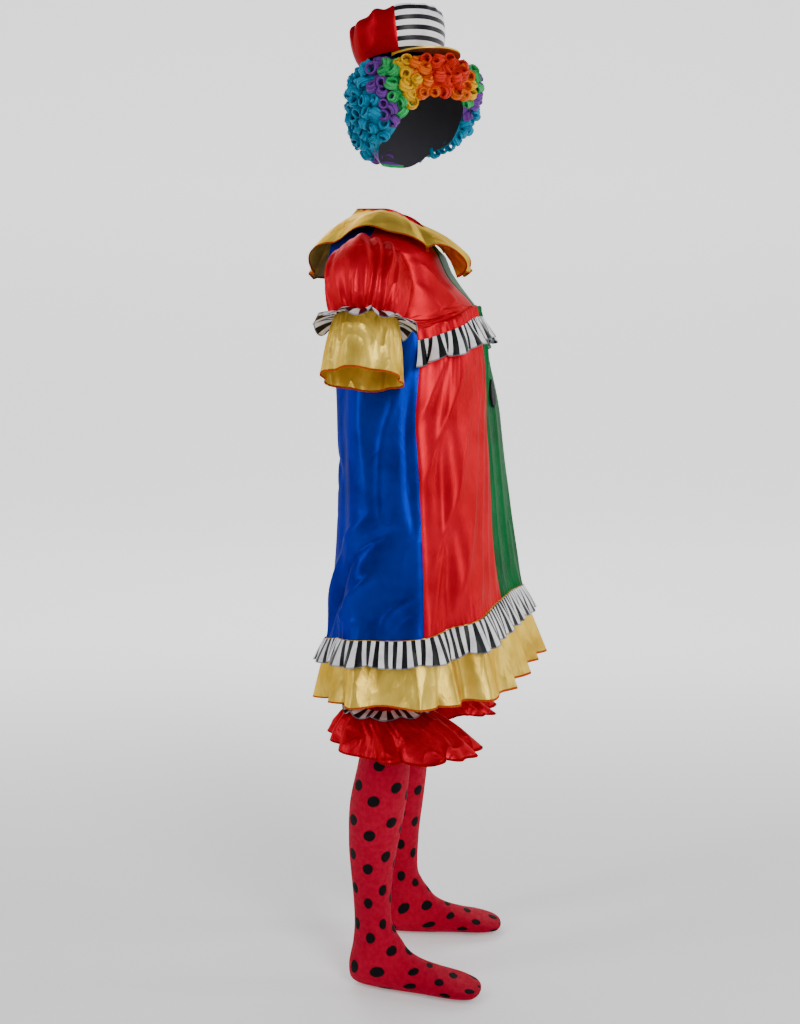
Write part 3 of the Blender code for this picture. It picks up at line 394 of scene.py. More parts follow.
def cells(grid):
    """What a grid holds at the four corners of each cell: on along the row, then back along the
    next row."""
    corners = np.stack([grid[:-1, :-1], grid[:-1, 1:], grid[1:, 1:], grid[1:, :-1]], axis=2)
    return corners.reshape(-1, 4, *grid.shape[2:])


def numbered(rows, cols, around=False):
    """The numbers of a grid's points; if its rows close, the first column comes again last."""
    numbers = np.arange(rows * cols).reshape(rows, cols)
    return np.concatenate([numbers, numbers[:, :1]], axis=1) if around else numbers


def mesh_piece(name, points, faces, corners, finishes, sharp):
    """A visible piece of points and faces, with the UV map "cloth" at its faces' corners, smooth
    but for edges sharper than an angle in degrees."""
    mesh = bpy.data.meshes.new(name)
    mesh.from_pydata(points.tolist(), [], faces.tolist())
    mesh.uv_layers.new(name="cloth").data.foreach_set("uv", corners.reshape(-1).astype(np.float32))
    for finish in finishes:
        mesh.materials.append(finish)
    mesh.shade_smooth()
    mesh.set_sharp_from_angle(angle=math.radians(sharp))
    piece = bpy.data.objects.new(name, mesh)
    bpy.context.collection.objects.link(piece)
    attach(piece, "root")
    return piece


def cloth(name, grid, wall, finish, inside=None, around=False, flat_u=None):
    """A cloth shell: the grid, the same grid moved in along its normals by the wall, and a rim at
    its free edges. Its UV map holds lengths in metres: along the rows, and up from the last row.
    Without an inside, a closed ring's own middles are the inside."""
    rows, cols = grid.shape[:2]
    if inside is None:
        inside = grid.mean(axis=1, keepdims=True)
    normals = grid_normals(grid, around, inside)
    points = np.concatenate([grid.reshape(-1, 3), (grid - normals * wall).reshape(-1, 3)])
    ends = np.concatenate([grid, grid[:, :1]], axis=1) if around else grid
    if flat_u is None:
        steps = np.linalg.norm(np.diff(ends, axis=1), axis=2).mean(axis=0)
        flat_u = np.concatenate([[0.0], np.cumsum(steps)])
    steps = np.linalg.norm(np.diff(ends, axis=0), axis=2).mean(axis=1)
    flat_v = np.concatenate([np.cumsum(steps[::-1])[::-1], [0.0]])[:, None]
    flat = np.stack(np.broadcast_arrays(flat_u, flat_v), axis=-1)
    r, c = np.indices((rows - 1, ends.shape[1] - 1)).reshape(2, -1)
    quads, places = cells(numbered(rows, cols, around)), cells(flat)
    # Whether the faces point out is read from all of them against the grid's normals.
    a, b, e = points[quads[:, 0]], points[quads[:, 1]], points[quads[:, 3]]
    out = np.sum(np.cross(b - a, e - a) * normals.reshape(-1, 3)[quads[:, 0]])
    rims = [(r == 0, 0, 1), (r == rows - 2, 2, 3)]
    if not around:
        rims += [(c == 0, 3, 0), (c == cols - 2, 1, 2)]
    back = rows * cols
    faces, corners = [quads, quads[:, ::-1] + back], [places, places[:, ::-1]]
    for chosen, i, j in rims:
        quad, place = quads[chosen], places[chosen]
        faces.append(np.stack([quad[:, j], quad[:, i], quad[:, i] + back, quad[:, j] + back], axis=1))
        corners.append(np.stack([place[:, j], place[:, i], place[:, i], place[:, j]], axis=1))
    faces, corners = np.concatenate(faces), np.concatenate(corners)
    if out < 0:
        faces, corners = faces[:, ::-1], corners[:, ::-1]
    return mesh_piece(name, points, faces, corners, [finish], 65)


def satin(name, colour, deep, wrinkle=1.0, edge=None, metal=0.45, crush=0.0001):
    """Polyester satin: a coloured gloss, deeper in tone in places, over layers of relief whose
    depths are shares of crush, and, if asked, an overlocked edge of thick thread."""
    finish = Finish(name, Metallic=metal, Specular_IOR_Level=0.02, Anisotropic=0.3,
                    Specular_Tint=tuple(min(1.0, 0.05 + 0.8 * c) for c in colour))
    place, along, up = finish.cloth_place()
    solid = finish.solid_place()
    tone = finish.mix(finish.noise(solid, 14.0, 3.0, 0.55).between(0.32, 0.72), colour, deep)
    crease = finish.noise(finish.stretched(solid, (34.0, 34.0, 13.0)), 1.0, 4.0, 0.55, 0.6)
    crumple = finish.noise(finish.stretched(solid, (9.0, 9.0, 6.0), (0.5, 0.3, 0.2)),
                           1.0, 3.0, 0.5, 1.2)
    thread = finish.noise(finish.stretched(place, THREAD_SCALE), 1.0, 1.0, 0.4)
    dent = finish.node("ShaderNodeTexNoise", {"noise_type": "RIDGED_MULTIFRACTAL"},
                       {"Vector": finish.stretched(solid, (17.0, 17.0, 11.0), (0.3, 0.4, 0.9)),
                        "Scale": 1.0, "Detail": 1.6, "Roughness": 0.45, "Distortion": 0.9,
                        "Offset": 0.9, "Gain": 1.2})
    crinkle = finish.noise(solid, 150.0, 2.0, 0.5, 0.8)
    gloss = finish.noise(solid, 60.0, 2.0) * 0.07 + 0.33
    layers = [(crumple, 2.5 * crush * wrinkle), (dent, 1.6 * crush * wrinkle),
              (crease, crush * wrinkle), (crinkle, 0.22 * crush), (thread, 0.00003)]
    if edge:
        lap = (up * -1.0 + EDGE_WIDTH).between(0.0, 0.0006)
        stitch = finish.node("ShaderNodeTexWave", {"wave_type": "BANDS", "bands_direction": "X"},
                             {"Vector": finish.stretched(place, (1.0, 0.25, 1.0), (0, 0, 0.5)),
                              "Scale": 190.0, "Distortion": 1.2, "Detail": 1.0, "Detail Scale": 3.0})
        tone = finish.mix(lap, tone, finish.mix(stitch, tuple(c * 0.45 for c in edge), edge))
        gloss = gloss + lap * 0.32
        layers.append((stitch * lap + lap * 1.5, 0.0007))
    finish.relief(*layers)
    finish.coat(tone, gloss)
    return finish.material


def sway(across, count, phase=0.0):
    """A sine with a count of waves over a share from 0 to 1, started at a phase in radians."""
    return np.sin(2 * math.pi * count * across + phase)


def gathers(across, count, seed, unevenness):
    """Gathers along a share from 0 to 1: a cosine whose phase and height wander, from -1 to 1."""
    rng = np.random.default_rng(seed)
    wander, swell = np.zeros_like(across), np.ones_like(across)
    for k in (1, 2, 3, 5):
        wander += unevenness * rng.normal() * np.sin(2 * math.pi * (k * across + rng.random())) / k
        swell += 0.30 * rng.normal() * np.sin(2 * math.pi * (2 * k * across + rng.random())) / k
    return np.cos(2 * math.pi * (count * across + wander * 1.5)) * np.clip(swell, 0.35, 1.5)


def ridges(shares, rows, breadth, table):
    """Listed folds of one panel: each follows a smooth path of (row, share) points, is a
    crest across that path, steeper on one side, and fades in and out at its ends."""
    depth = np.zeros(shares.shape)
    for path, width, height in table:
        path = np.array(path)
        middle = smooth_between(path[:, 0], path[:, 1], rows)
        apart = (shares - middle) * breadth / width
        apart = np.where(apart > 0, apart / 1.35, apart / 0.75)
        top, end = path[0, 0], path[-1, 0]
        reach = (np.clip((rows - top) / (0.18 * (end - top)), 0, 1)
                 * np.clip((end - rows) / (0.25 * (end - top)), 0, 1))
        depth += height * np.exp(-(apart**2 + 0.05) ** 0.65) * eased(reach)
    return depth


# Paths are (row, share from the centre to the side); widths and heights in metres.
RED_SKIRT = (
    (((5.00, 0.42), (5.6, 0.62), (6.2, 0.82), (6.9, 1.02)), 0.0120, 0.0042),
    (((5.00, 0.27), (6.0, 0.48), (7.1, 0.73), (8.3, 1.00)), 0.0150, 0.0062),
    (((5.00, 0.15), (6.2, 0.34), (7.6, 0.56), (9.4, 0.84)), 0.0170, 0.0078),
    (((5.00, 0.07), (6.3, 0.21), (7.8, 0.38), (9.4, 0.57)), 0.0170, 0.0080),
    (((5.20, 0.03), (6.6, 0.12), (8.0, 0.23), (9.4, 0.35)), 0.0140, 0.0066),
    (((6.00, 0.02), (7.6, 0.07), (9.4, 0.15)), 0.0110, 0.0048),
    (((5.00, 0.66), (5.5, 0.82), (6.0, 1.00)), 0.0090, 0.0030),
    (((7.60, 0.80), (8.4, 0.90), (9.4, 1.00)), 0.0110, 0.0045))
GREEN_SKIRT = (
    (((5.00, 0.30), (5.6, 0.18), (6.0, 0.08)), 0.0080, 0.0040),
    (((5.00, 0.10), (5.8, 0.30), (6.9, 0.38), (9.4, 0.34)), 0.0160, 0.0045),
    (((5.20, 0.62), (6.4, 0.70), (7.6, 0.64), (9.4, 0.66)), 0.0180, 0.0050),
    (((5.90, 0.04), (6.8, 0.12), (9.4, 0.09)), 0.0110, 0.0030),
    (((5.00, 0.84), (6.0, 0.92), (7.4, 0.86), (9.4, 0.90)), 0.0150, 0.0045),
    (((7.60, 0.50), (8.4, 0.47), (9.4, 0.50)), 0.0120, 0.0030))
BACK_FOLDS = (
    (((2.4, 0.85), (3.6, 0.72), (5.0, 0.66), (6.4, 0.72), (8.0, 0.80)), 0.0160, 0.0050),
    (((5.7, 0.02), (6.2, 0.18), (6.5, 0.36), (6.8, 0.46)), 0.0140, -0.0070),
    (((6.3, 0.05), (6.7, 0.20), (6.9, 0.38)), 0.0120, -0.0060),
    (((6.8, 0.02), (7.15, 0.20), (7.25, 0.38)), 0.0130, -0.0055),
    (((7.2, 0.92), (7.5, 0.74), (8.0, 0.56), (8.5, 0.42), (9.4, 0.36)), 0.0150, -0.0110),
    (((7.0, 0.78), (7.5, 0.58), (8.1, 0.40), (8.8, 0.26), (9.4, 0.22)), 0.0170, 0.0080),
    (((7.9, 0.80), (8.4, 0.64), (9.4, 0.52)), 0.0120, 0.0070),
    (((5.2, 0.98), (5.8, 0.86), (6.8, 0.80), (7.6, 0.84)), 0.0110, 0.0055),
    (((5.4, 0.96), (6.4, 0.94), (7.6, 0.97)), 0.0070, -0.0050),
    (((8.5, 0.62), (8.75, 0.72), (8.8, 0.90)), 0.0060, 0.0050),
    (((8.3, 0.98), (8.5, 0.88), (8.9, 0.82), (9.3, 0.84)), 0.0065, 0.0055),
    (((8.6, 0.96), (8.8, 0.90), (9.3, 0.94)), 0.0050, -0.0040),
    (((3.2, 0.30), (4.6, 0.34), (6.0, 0.28)), 0.0200, 0.0060),
    (((7.6, 0.08), (8.4, 0.12), (9.4, 0.08)), 0.0140, 0.0050),
    (((1.2, 0.55), (2.2, 0.48), (3.4, 0.50)), 0.0180, 0.0040))
RED_BODICE = (
    (((2.6, 1.02), (3.1, 0.80), (3.7, 0.62), (4.3, 0.50)), 0.010, 0.0042),
    (((2.0, 1.00), (2.6, 0.74), (3.2, 0.52), (4.0, 0.34)), 0.011, 0.0036),
    (((1.2, 0.92), (2.0, 0.66), (2.8, 0.44), (3.4, 0.30)), 0.013, 0.0032),
    (((3.2, 0.94), (3.8, 0.84), (4.9, 0.78)), 0.009, 0.0042),
    (((3.4, 0.30), (4.1, 0.24), (5.0, 0.22)), 0.010, 0.0030))


def panel_grid(part, side, shares, rows, table):
    """A panel's outer face: its plain rows moved out along their normals by the folds, by the
    gathers next to the raised waist, and in at the seams by a fine groove."""
    grid = np.array([panel_row(part, side, shares, row) for row in rows])
    normals = grid_normals(grid, False, AXIS + grid * UPRIGHT)
    if rows[0] == 0:
        normals[:3] = unit(normals[:3] * 0.5 + normals[3] * 0.5)
    across, down = np.meshgrid(shares, rows)
    breadth = np.linalg.norm(np.diff(grid, axis=1), axis=2).sum(axis=1)[:, None]
    depth = ridges(across, down, breadth, table)
    if part == "front":
        near = fade(np.abs(down - EMPIRE_ROW), 0.42)
        depth = depth * (1 - 0.75 * bell(down - EMPIRE_ROW, 0.16))
        depth += near * (0.0014 * gathers(across, 13, 11 + side, 0.6)
                         + 0.0007 * gathers(across, 27, 5 - side, 0.6))
    low = fade(HEM_ROW - down, 0.22)
    depth = depth * (1 - 0.55 * low) + low * 0.0011 * gathers(across, 17, 31 + side, 0.35)
    span = np.minimum(across, 1 - across) * breadth
    depth -= 0.0011 * bell(span, 0.0028)
    return worn(grid + normals * depth[..., None])


satin_red = satin("satin_red", RED, (0.48, 0.003, 0.014), 1.0)
satin_green = satin("satin_green", GREEN, (0.0, 0.095, 0.024), 0.8, metal=0.40)
satin_blue = satin("satin_blue", BLUE, (0.0, 0.009, 0.19), 1.0, metal=0.6, crush=0.0004)
FRONT_SHARES, BACK_SHARES = np.linspace(0, 1, 81), np.linspace(0, 1, 73)
BODICE_ROWS = np.concatenate([np.linspace(0, 3, 50), np.linspace(3, 5, 34)[1:]])
SKIRT_ROWS = np.linspace(5.004, 9, 120)
BACK_ROWS = np.concatenate([np.linspace(0, 5, 68), np.linspace(5, 9, 106)[1:]])
for side, word, finish, skirt_folds in ((-1, "right", satin_red, RED_SKIRT),
                                        (1, "left", satin_green, GREEN_SKIRT)):
    grid = panel_grid("front", side, FRONT_SHARES, BODICE_ROWS, RED_BODICE)
    piece = cloth(f"dress_bodice_{word}", grid, SATIN_WALL, finish, AXIS + grid * UPRIGHT)
    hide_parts(f"bodice_front_{word}")
    grid = panel_grid("front", side, FRONT_SHARES, SKIRT_ROWS, skirt_folds)
    piece = cloth(f"dress_skirt_{word}", grid, SATIN_WALL, finish, AXIS + grid * UPRIGHT)
    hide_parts(f"skirt_front_{word}")
    grid = panel_grid("back", side, BACK_SHARES, BACK_ROWS, BACK_FOLDS)
    piece = cloth(f"dress_back_{word}", grid, SATIN_WALL, satin_blue, AXIS + grid * UPRIGHT)
    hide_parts(f"back_{word}")

# ---- Neck binding and collar
# A narrow bias strip of red satin binds the neckline. The collar is one wide ring of gold satin,
# sewn in under the binding, with an overlocked edge of orange-red thread all round; it falls in
# soft folds that lean over at the front and the back.
ORANGE_THREAD = (0.72, 0.115, 0.020)
# The right half of the collar's edge, at stops in degrees from the front.
COLLAR_STOPS = np.array((0, 35, 65, 90, 118, 150, 180.0))
COLLAR_EDGE = np.array((
    (0.000, -0.130, 1.268), (0.072, -0.119, 1.277), (0.138, -0.079, 1.319), (0.164, 0.002, 1.349),
    (0.142, 0.079, 1.323), (0.079, 0.122, 1.281), (0.000, 0.134, 1.265)))
# How much deeper the collar's large folds are near some angles from the front, in radians.
COLLAR_DEEPER = ((0.75, 0.55), (2.45, -0.25), (3.9, -0.2), (5.5, 0.45))
GOLD = (0.88, 0.61, 0.095)
satin_gold = satin("satin_gold", GOLD, (0.58, 0.35, 0.038), 1.0, ORANGE_THREAD, metal=0.6, crush=0.0016)


def circle_of(count):
    """Evenly spaced shares of a full turn, and their angles in radians."""
    ring = np.arange(count) / count
    return ring, ring * 2 * math.pi


def steps_of(count):
    """Shares from 0 to 1 in a column."""
    return np.linspace(0, 1, count)[:, None]


ring, turn = circle_of(360)
root = neckline(turn)
level = unit(root * (1, 1, 0))
# The binding's section: outwards and up from the neckline.
binding_profile = np.array(((0.0012, 0.0006), (0.0019, 0.0030), (0.0019, 0.0062), (0.0011, 0.0078),
                            (-0.0003, 0.0080)))
binding = worn(root + level * binding_profile[:, None, :1] + UPRIGHT * binding_profile[:, None, 1:])
satin_binding = satin("satin_binding", RED, (0.48, 0.003, 0.014), 0.3)
piece = cloth("neck_band", binding[:, ::3], 0.0012, satin_binding, around=True)
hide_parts("neck_binding")

place = np.degrees(np.where(turn > math.pi, 2 * math.pi - turn, turn))
edge = smooth_between(COLLAR_STOPS, COLLAR_EDGE, place)
edge[:, 0] *= np.where(turn > math.pi, 1.0, -1.0)
start = root + level * 0.0016 + UPRIGHT * 0.0045
share = steps_of(30)[..., None]
grid = start + (edge - start) * share
normals = grid_normals(grid, True, UPRIGHT)
fold = 8 * turn + 0.6 + 0.35 * np.sin(2 * turn + 1.0) + 0.25 * np.sin(3 * turn)
height = 1.0 + 0.22 * np.sin(3 * turn + 0.5) + 0.15 * np.sin(5 * turn + 2.0)
height *= 1 - 0.62 * np.sin(turn) ** 6
height *= 1 + sum(more * bell(turn - at, 0.42) for at, more in COLLAR_DEEPER)
# Small folds over both fronts.
fronts = bell(turn - 0.95, 0.55) + bell(turn - 5.33, 0.55)
small = 15 * turn + 0.8 * np.sin(3 * turn) + 0.7
wave = 0.021 * height * ((1 + np.cos(fold)) / 2) ** 1.3 + 0.015 * fronts * (1 + np.cos(small)) / 2
lean = 0.017 * height * np.sin(fold) + 0.012 * fronts * np.sin(small)
fine = 0.0011 * gathers(ring, 34, 3, 0.6)
away = (wave[:, None] * share**1.15 + 0.0085 * np.sin(math.pi * share) + 0.002 * share
        + fine[:, None] * (fade(share, 0.10) + 0.35 * share))
grid = worn(grid + normals * away + along_rows(grid, True) * lean[:, None] * share**1.6)
piece = cloth("dress_collar", grid, STRIP_WALL, satin_gold, np.array([0.0, 0.0, -0.4]), around=True)
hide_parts("collar")

# ---- Raised waist ruffle
# A strip of black and white striped satin, its stripes across it, gathered along its top edge
# over the front seam only. It stands out below and its lower edge turns in soft waves.
STRIPE_PERIOD = 0.0205


def striped(name):
    """Striped satin: black where the length along the strip, bent a little by the creases, falls
    in the first half of a period."""
    finish = Finish(name, Specular_IOR_Level=0.22)
    place, along, up = finish.cloth_place()
    bend = (finish.noise(finish.stretched(place, (38.0, 16.0, 1.0)), 1.0, 2.0) - 0.5) * 0.004
    phase = ((along + bend) * (1 / STRIPE_PERIOD)).math("FRACT")
    black = (phase - 0.5).math("ABSOLUTE").between(0.236, 0.262)
    grey = finish.noise(finish.solid_place(), 55.0, 3.0).between(0.35, 0.75)
    white_tone = finish.mix(grey, (0.93, 0.92, 0.93), (0.66, 0.65, 0.70))
    black_tone = finish.mix(grey, (0.003, 0.003, 0.004), (0.012, 0.012, 0.015))
    hem = (up * -1.0 + 0.0022).between(0.0, 0.0005)
    tone = finish.mix(hem * 0.75, finish.mix(black, black_tone, white_tone), (0.13, 0.13, 0.16))
    finish.coat(tone, grey * 0.10 + 0.34)
    crease = finish.noise(finish.stretched(place, (130.0, 26.0, 1.0)), 1.0, 3.0, 0.5, 0.6)
    thread = finish.noise(finish.stretched(place, THREAD_SCALE), 1.0, 1.0)
    finish.relief((crease, 0.00144), (thread, 0.00004), (hem, 0.0004))
    return finish.material


def resampled(line, count, closed):
    """Evenly spaced points along a line of points."""
    if closed:
        line = np.concatenate([line, line[:1]])
    length = lengths_along(line)
    wanted = (np.arange(count) / count if closed else np.linspace(0, 1, count)) * length[-1]
    return np.stack([np.interp(wanted, length, line[:, k]) for k in range(3)], axis=-1)


def level_normals(line, closed):
    """Level directions square to a line of points round the body, pointing outwards."""
    along = along_rows(line, closed)
    normals = unit(np.stack([along[:, 1], -along[:, 0], np.zeros(len(line))], axis=-1))
    return normals * np.sign(np.sum(normals[:, :2] * (line - (0.0, -0.06, 0.0))[:, :2]))


def seam_line(row):
    """The lower edge of the plain panels at a row, from the back centre round by the right side:
    right back, right front, left front, left back."""
    shares = np.linspace(0, 1, 40)
    return [panel_row("back", -1, shares, row), panel_row("front", -1, shares, row)[::-1],
            panel_row("front", 1, shares, row), panel_row("back", 1, shares, row)[::-1]]


striped_satin = striped("striped_satin")
WAIST_STRIP, WAIST_COLUMNS = 0.62, 340
top = resampled(np.concatenate(seam_line(EMPIRE_ROW)[1:3]), WAIST_COLUMNS, False)
out = level_normals(top, False)
across = np.linspace(0, 1, WAIST_COLUMNS)
share = steps_of(13)
swell = 1 + 0.3 * sway(across, 3.1, 0.4 * math.pi) + 0.2 * sway(across, 5.3)
theta = 2 * math.pi * (12 * across + 0.10 * sway(across, 2.3))
away = (0.0017 + 0.0016 * np.sin(math.pi * share) + 0.018 * share**1.1
        + 0.0078 * swell * share**1.2 * np.cos(theta)
        + 0.0008 * gathers(across, 40, 21, 0.5) * fade(share, 0.35))
drop = 0.0006 + 0.041 * share + 0.0042 * share**1.5 * np.sin(theta * 0.5 + 1.0)
grid = worn(top + out * away[..., None] - UPRIGHT * drop[..., None]
            + along_rows(top, False) * (0.0074 * swell * share**1.4 * np.sin(theta))[..., None])
piece = cloth("waist_ruffle", grid, STRIP_WALL, striped_satin, AXIS + grid * UPRIGHT,
              flat_u=across * WAIST_STRIP)
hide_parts("bust_ruffle")

# ---- Hem flounce and hem ruffle
# A deep flounce of gold satin with an orange-red overlocked edge is sewn into the hem seam, and a
# gathered striped strip covers the seam from outside.
HEM_COLUMNS, RUFFLE_COLUMNS, RUFFLE_ROW = 600, 900, HEM_ROW + 0.38
hem_share, hem_turn = circle_of(HEM_COLUMNS)
seam = resampled(np.concatenate(seam_line(HEM_ROW)), HEM_COLUMNS, True) - UPRIGHT * 0.0008


def dress_ring(row):
    """An evenly spaced dress section from the back centre round by the right side."""
    return spaced(lambda a: dress_points(a, row), math.pi, -math.pi, hem_share)


theta = (18 * hem_turn + 0.6 * sway(hem_share, 3) + 0.6 * sway(hem_share, 5, 1)
         + 0.5 * sway(hem_share, 8, 2.5))
swell = 1 + 0.28 * sway(hem_share, 4, 0.6 * math.pi) + 0.18 * sway(hem_share, 7)
# Each wave is a cosine mixed with a leaning triangle wave, so that its folds are pressed.
pressed = 0.70 * np.arcsin(0.985 * np.cos(theta + 0.7 * np.sin(theta))) / 1.4
rows = []
for row in np.linspace(HEM_ROW, FLOUNCE_ROW, 30):
    # Just below the hem seam the section is mixed with that seam.
    fall = row - HEM_ROW
    mix = min(fall / 0.45, 1.0)
    line = seam * (1 - mix) + dress_ring(row) * mix
    depth = 0.0095 * swell * fall * (0.45 * np.cos(theta) + pressed)
    depth += 0.0010 * gathers(hem_share, 70, 8, 0.6) * fade(fall, 0.12)
    rows.append(line + level_normals(line, True) * (depth - 0.0003)[:, None]
                + along_rows(line, True) * (0.0055 * swell * fall**1.4 * np.sin(theta))[:, None])
piece = cloth("skirt_flounce", worn(np.array(rows)), STRIP_WALL, satin_gold, around=True)
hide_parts("hem_flounce")

across, turn = circle_of(RUFFLE_COLUMNS)
top = resampled(seam, RUFFLE_COLUMNS, True)
bottom = resampled(dress_ring(RUFFLE_ROW), RUFFLE_COLUMNS, True)
theta = 32 * turn + 0.5 * sway(across, 5) + 0.4 * sway(across, 7, 2)
swell = 1 + 0.3 * sway(across, 6, 0.2 * math.pi) + 0.2 * sway(across, 11)
share = steps_of(9)
line = top + (bottom - top) * share[..., None]
out = np.array([level_normals(row, True) for row in line])
away = (0.0036 + 0.0105 * share + 0.0012 * np.sin(math.pi * share)
        + 0.0050 * swell * share**1.2 * np.cos(theta)
        + 0.0009 * gathers(across, 95, 13, 0.5) * fade(share, 0.3))
grid = worn(line + out * away[..., None]
            + along_rows(line, True) * (0.0042 * swell * share**1.5 * np.sin(theta))[..., None]
            - UPRIGHT * (0.0020 * share * np.sin(theta * 0.5))[..., None])
piece = cloth("skirt_ruffle", grid, STRIP_WALL, striped_satin, around=True,
              flat_u=np.linspace(0, 92, RUFFLE_COLUMNS + 1) * STRIPE_PERIOD)
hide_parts("hem_ruffle")

# ---- Spot
# One round spot of black cloth sewn on the left front, its edge turned under.
SPOT_RADIUS, SPOT_ANGLE, SPOT_ROW, ROW_DROP = 0.022, math.radians(-14), 5.88, 0.145
# The spot's rings: share of its radius, and height over the skirt.
SPOT_RINGS = np.array(((1.0, 0.0030), (1.0, 0.0046), (0.97, 0.0054), (0.90, 0.0056),
                       (0.7, 0.0056), (0.45, 0.0056), (0.2, 0.0056), (0.004, 0.0056)))
black_cloth = Finish("black_spot_cloth", Base_Color=(0.008, 0.008, 0.009), Specular_IOR_Level=0.1)
solid = black_cloth.solid_place()
black_cloth.feed(black_cloth.shader.inputs["Roughness"], black_cloth.noise(solid, 300.0) * 0.15 + 0.62)
black_cloth.relief((black_cloth.noise(solid, 900.0, 2.0), 0.00012),
                   (black_cloth.noise(solid, 60.0, 2.0), 0.0006))
radius, turn = SPOT_RADIUS * SPOT_RINGS[:, :1], circle_of(64)[1]
row = SPOT_ROW - radius * np.sin(turn) / ROW_DROP
# How far along its row the skirt goes in a radian.
start, end = (dress_points(SPOT_ANGLE + step + 0 * row, row) for step in (0.0, 0.01))
per_radian = np.linalg.norm(end - start, axis=-1) / 0.01
spot = dress_points(SPOT_ANGLE + radius * np.cos(turn) / per_radian, row)
spot_out = unit(np.array([0.07, -1.0, 0.06]))
spot = worn(spot + spot_out * SPOT_RINGS[:, 1, None, None])
piece = cloth("spot", spot, 0.0008, black_cloth.material, spot.mean(axis=(0, 1)) - spot_out * 0.05,
              around=True)
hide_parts("front_spot")

# ---- Sleeves
# Each puff is one piece of red satin, gathered into the armhole and again into the elastic above
# the elbow. A striped strip stands out round the elastic, and a gold bell hangs below it, with an
# overlocked edge. The wearer's left sleeve is the mirror of the right one.
ELASTIC_CENTRE, ELASTIC_RADIUS = np.array([0.243, -0.009, 1.197]), 0.053
SLEEVE_TILT, BELL_DEPTH, FRILL_STRIPES = math.radians(20), 0.104, 28
satin_sleeve = satin("satin_sleeve", RED, (0.46, 0.003, 0.013), 1.0, crush=0.0014)


def armhole_line(side, count):
    """Points round an armhole from the shoulder tip by the front, evenly spaced."""
    end = np.array([1.0])
    front = [panel_row("front", side, end, v)[0] for v in np.linspace(0, ARMPIT_ROW, 60)]
    rear = [panel_row("back", side, end, v)[0] for v in np.linspace(ARMPIT_ROW, 0, 60)]
    return resampled(np.array(front + rear[1:]), count, True)


def sleeve_ways(side):
    """A sleeve's axis down the arm and its level direction away from the body."""
    sine, cosine = math.sin(SLEEVE_TILT), math.cos(SLEEVE_TILT)
    return np.array([side * sine, 0.0, -cosine]), np.array([side * cosine, 0.0, sine])


def elastic_ring(side, angles, radius, drop):
    """A ring round the sleeve's axis, drop below the elastic; angle 0 is outside, then the front."""
    down, outer = sleeve_ways(side)
    angles, radius, drop = (v[..., None] for v in np.broadcast_arrays(angles, radius, drop))
    round_axis = np.cos(angles) * outer + np.sin(angles) * np.array([0.0, -1.0, 0.0])
    return ELASTIC_CENTRE * (side, 1, 1) + down * drop + radius * round_axis


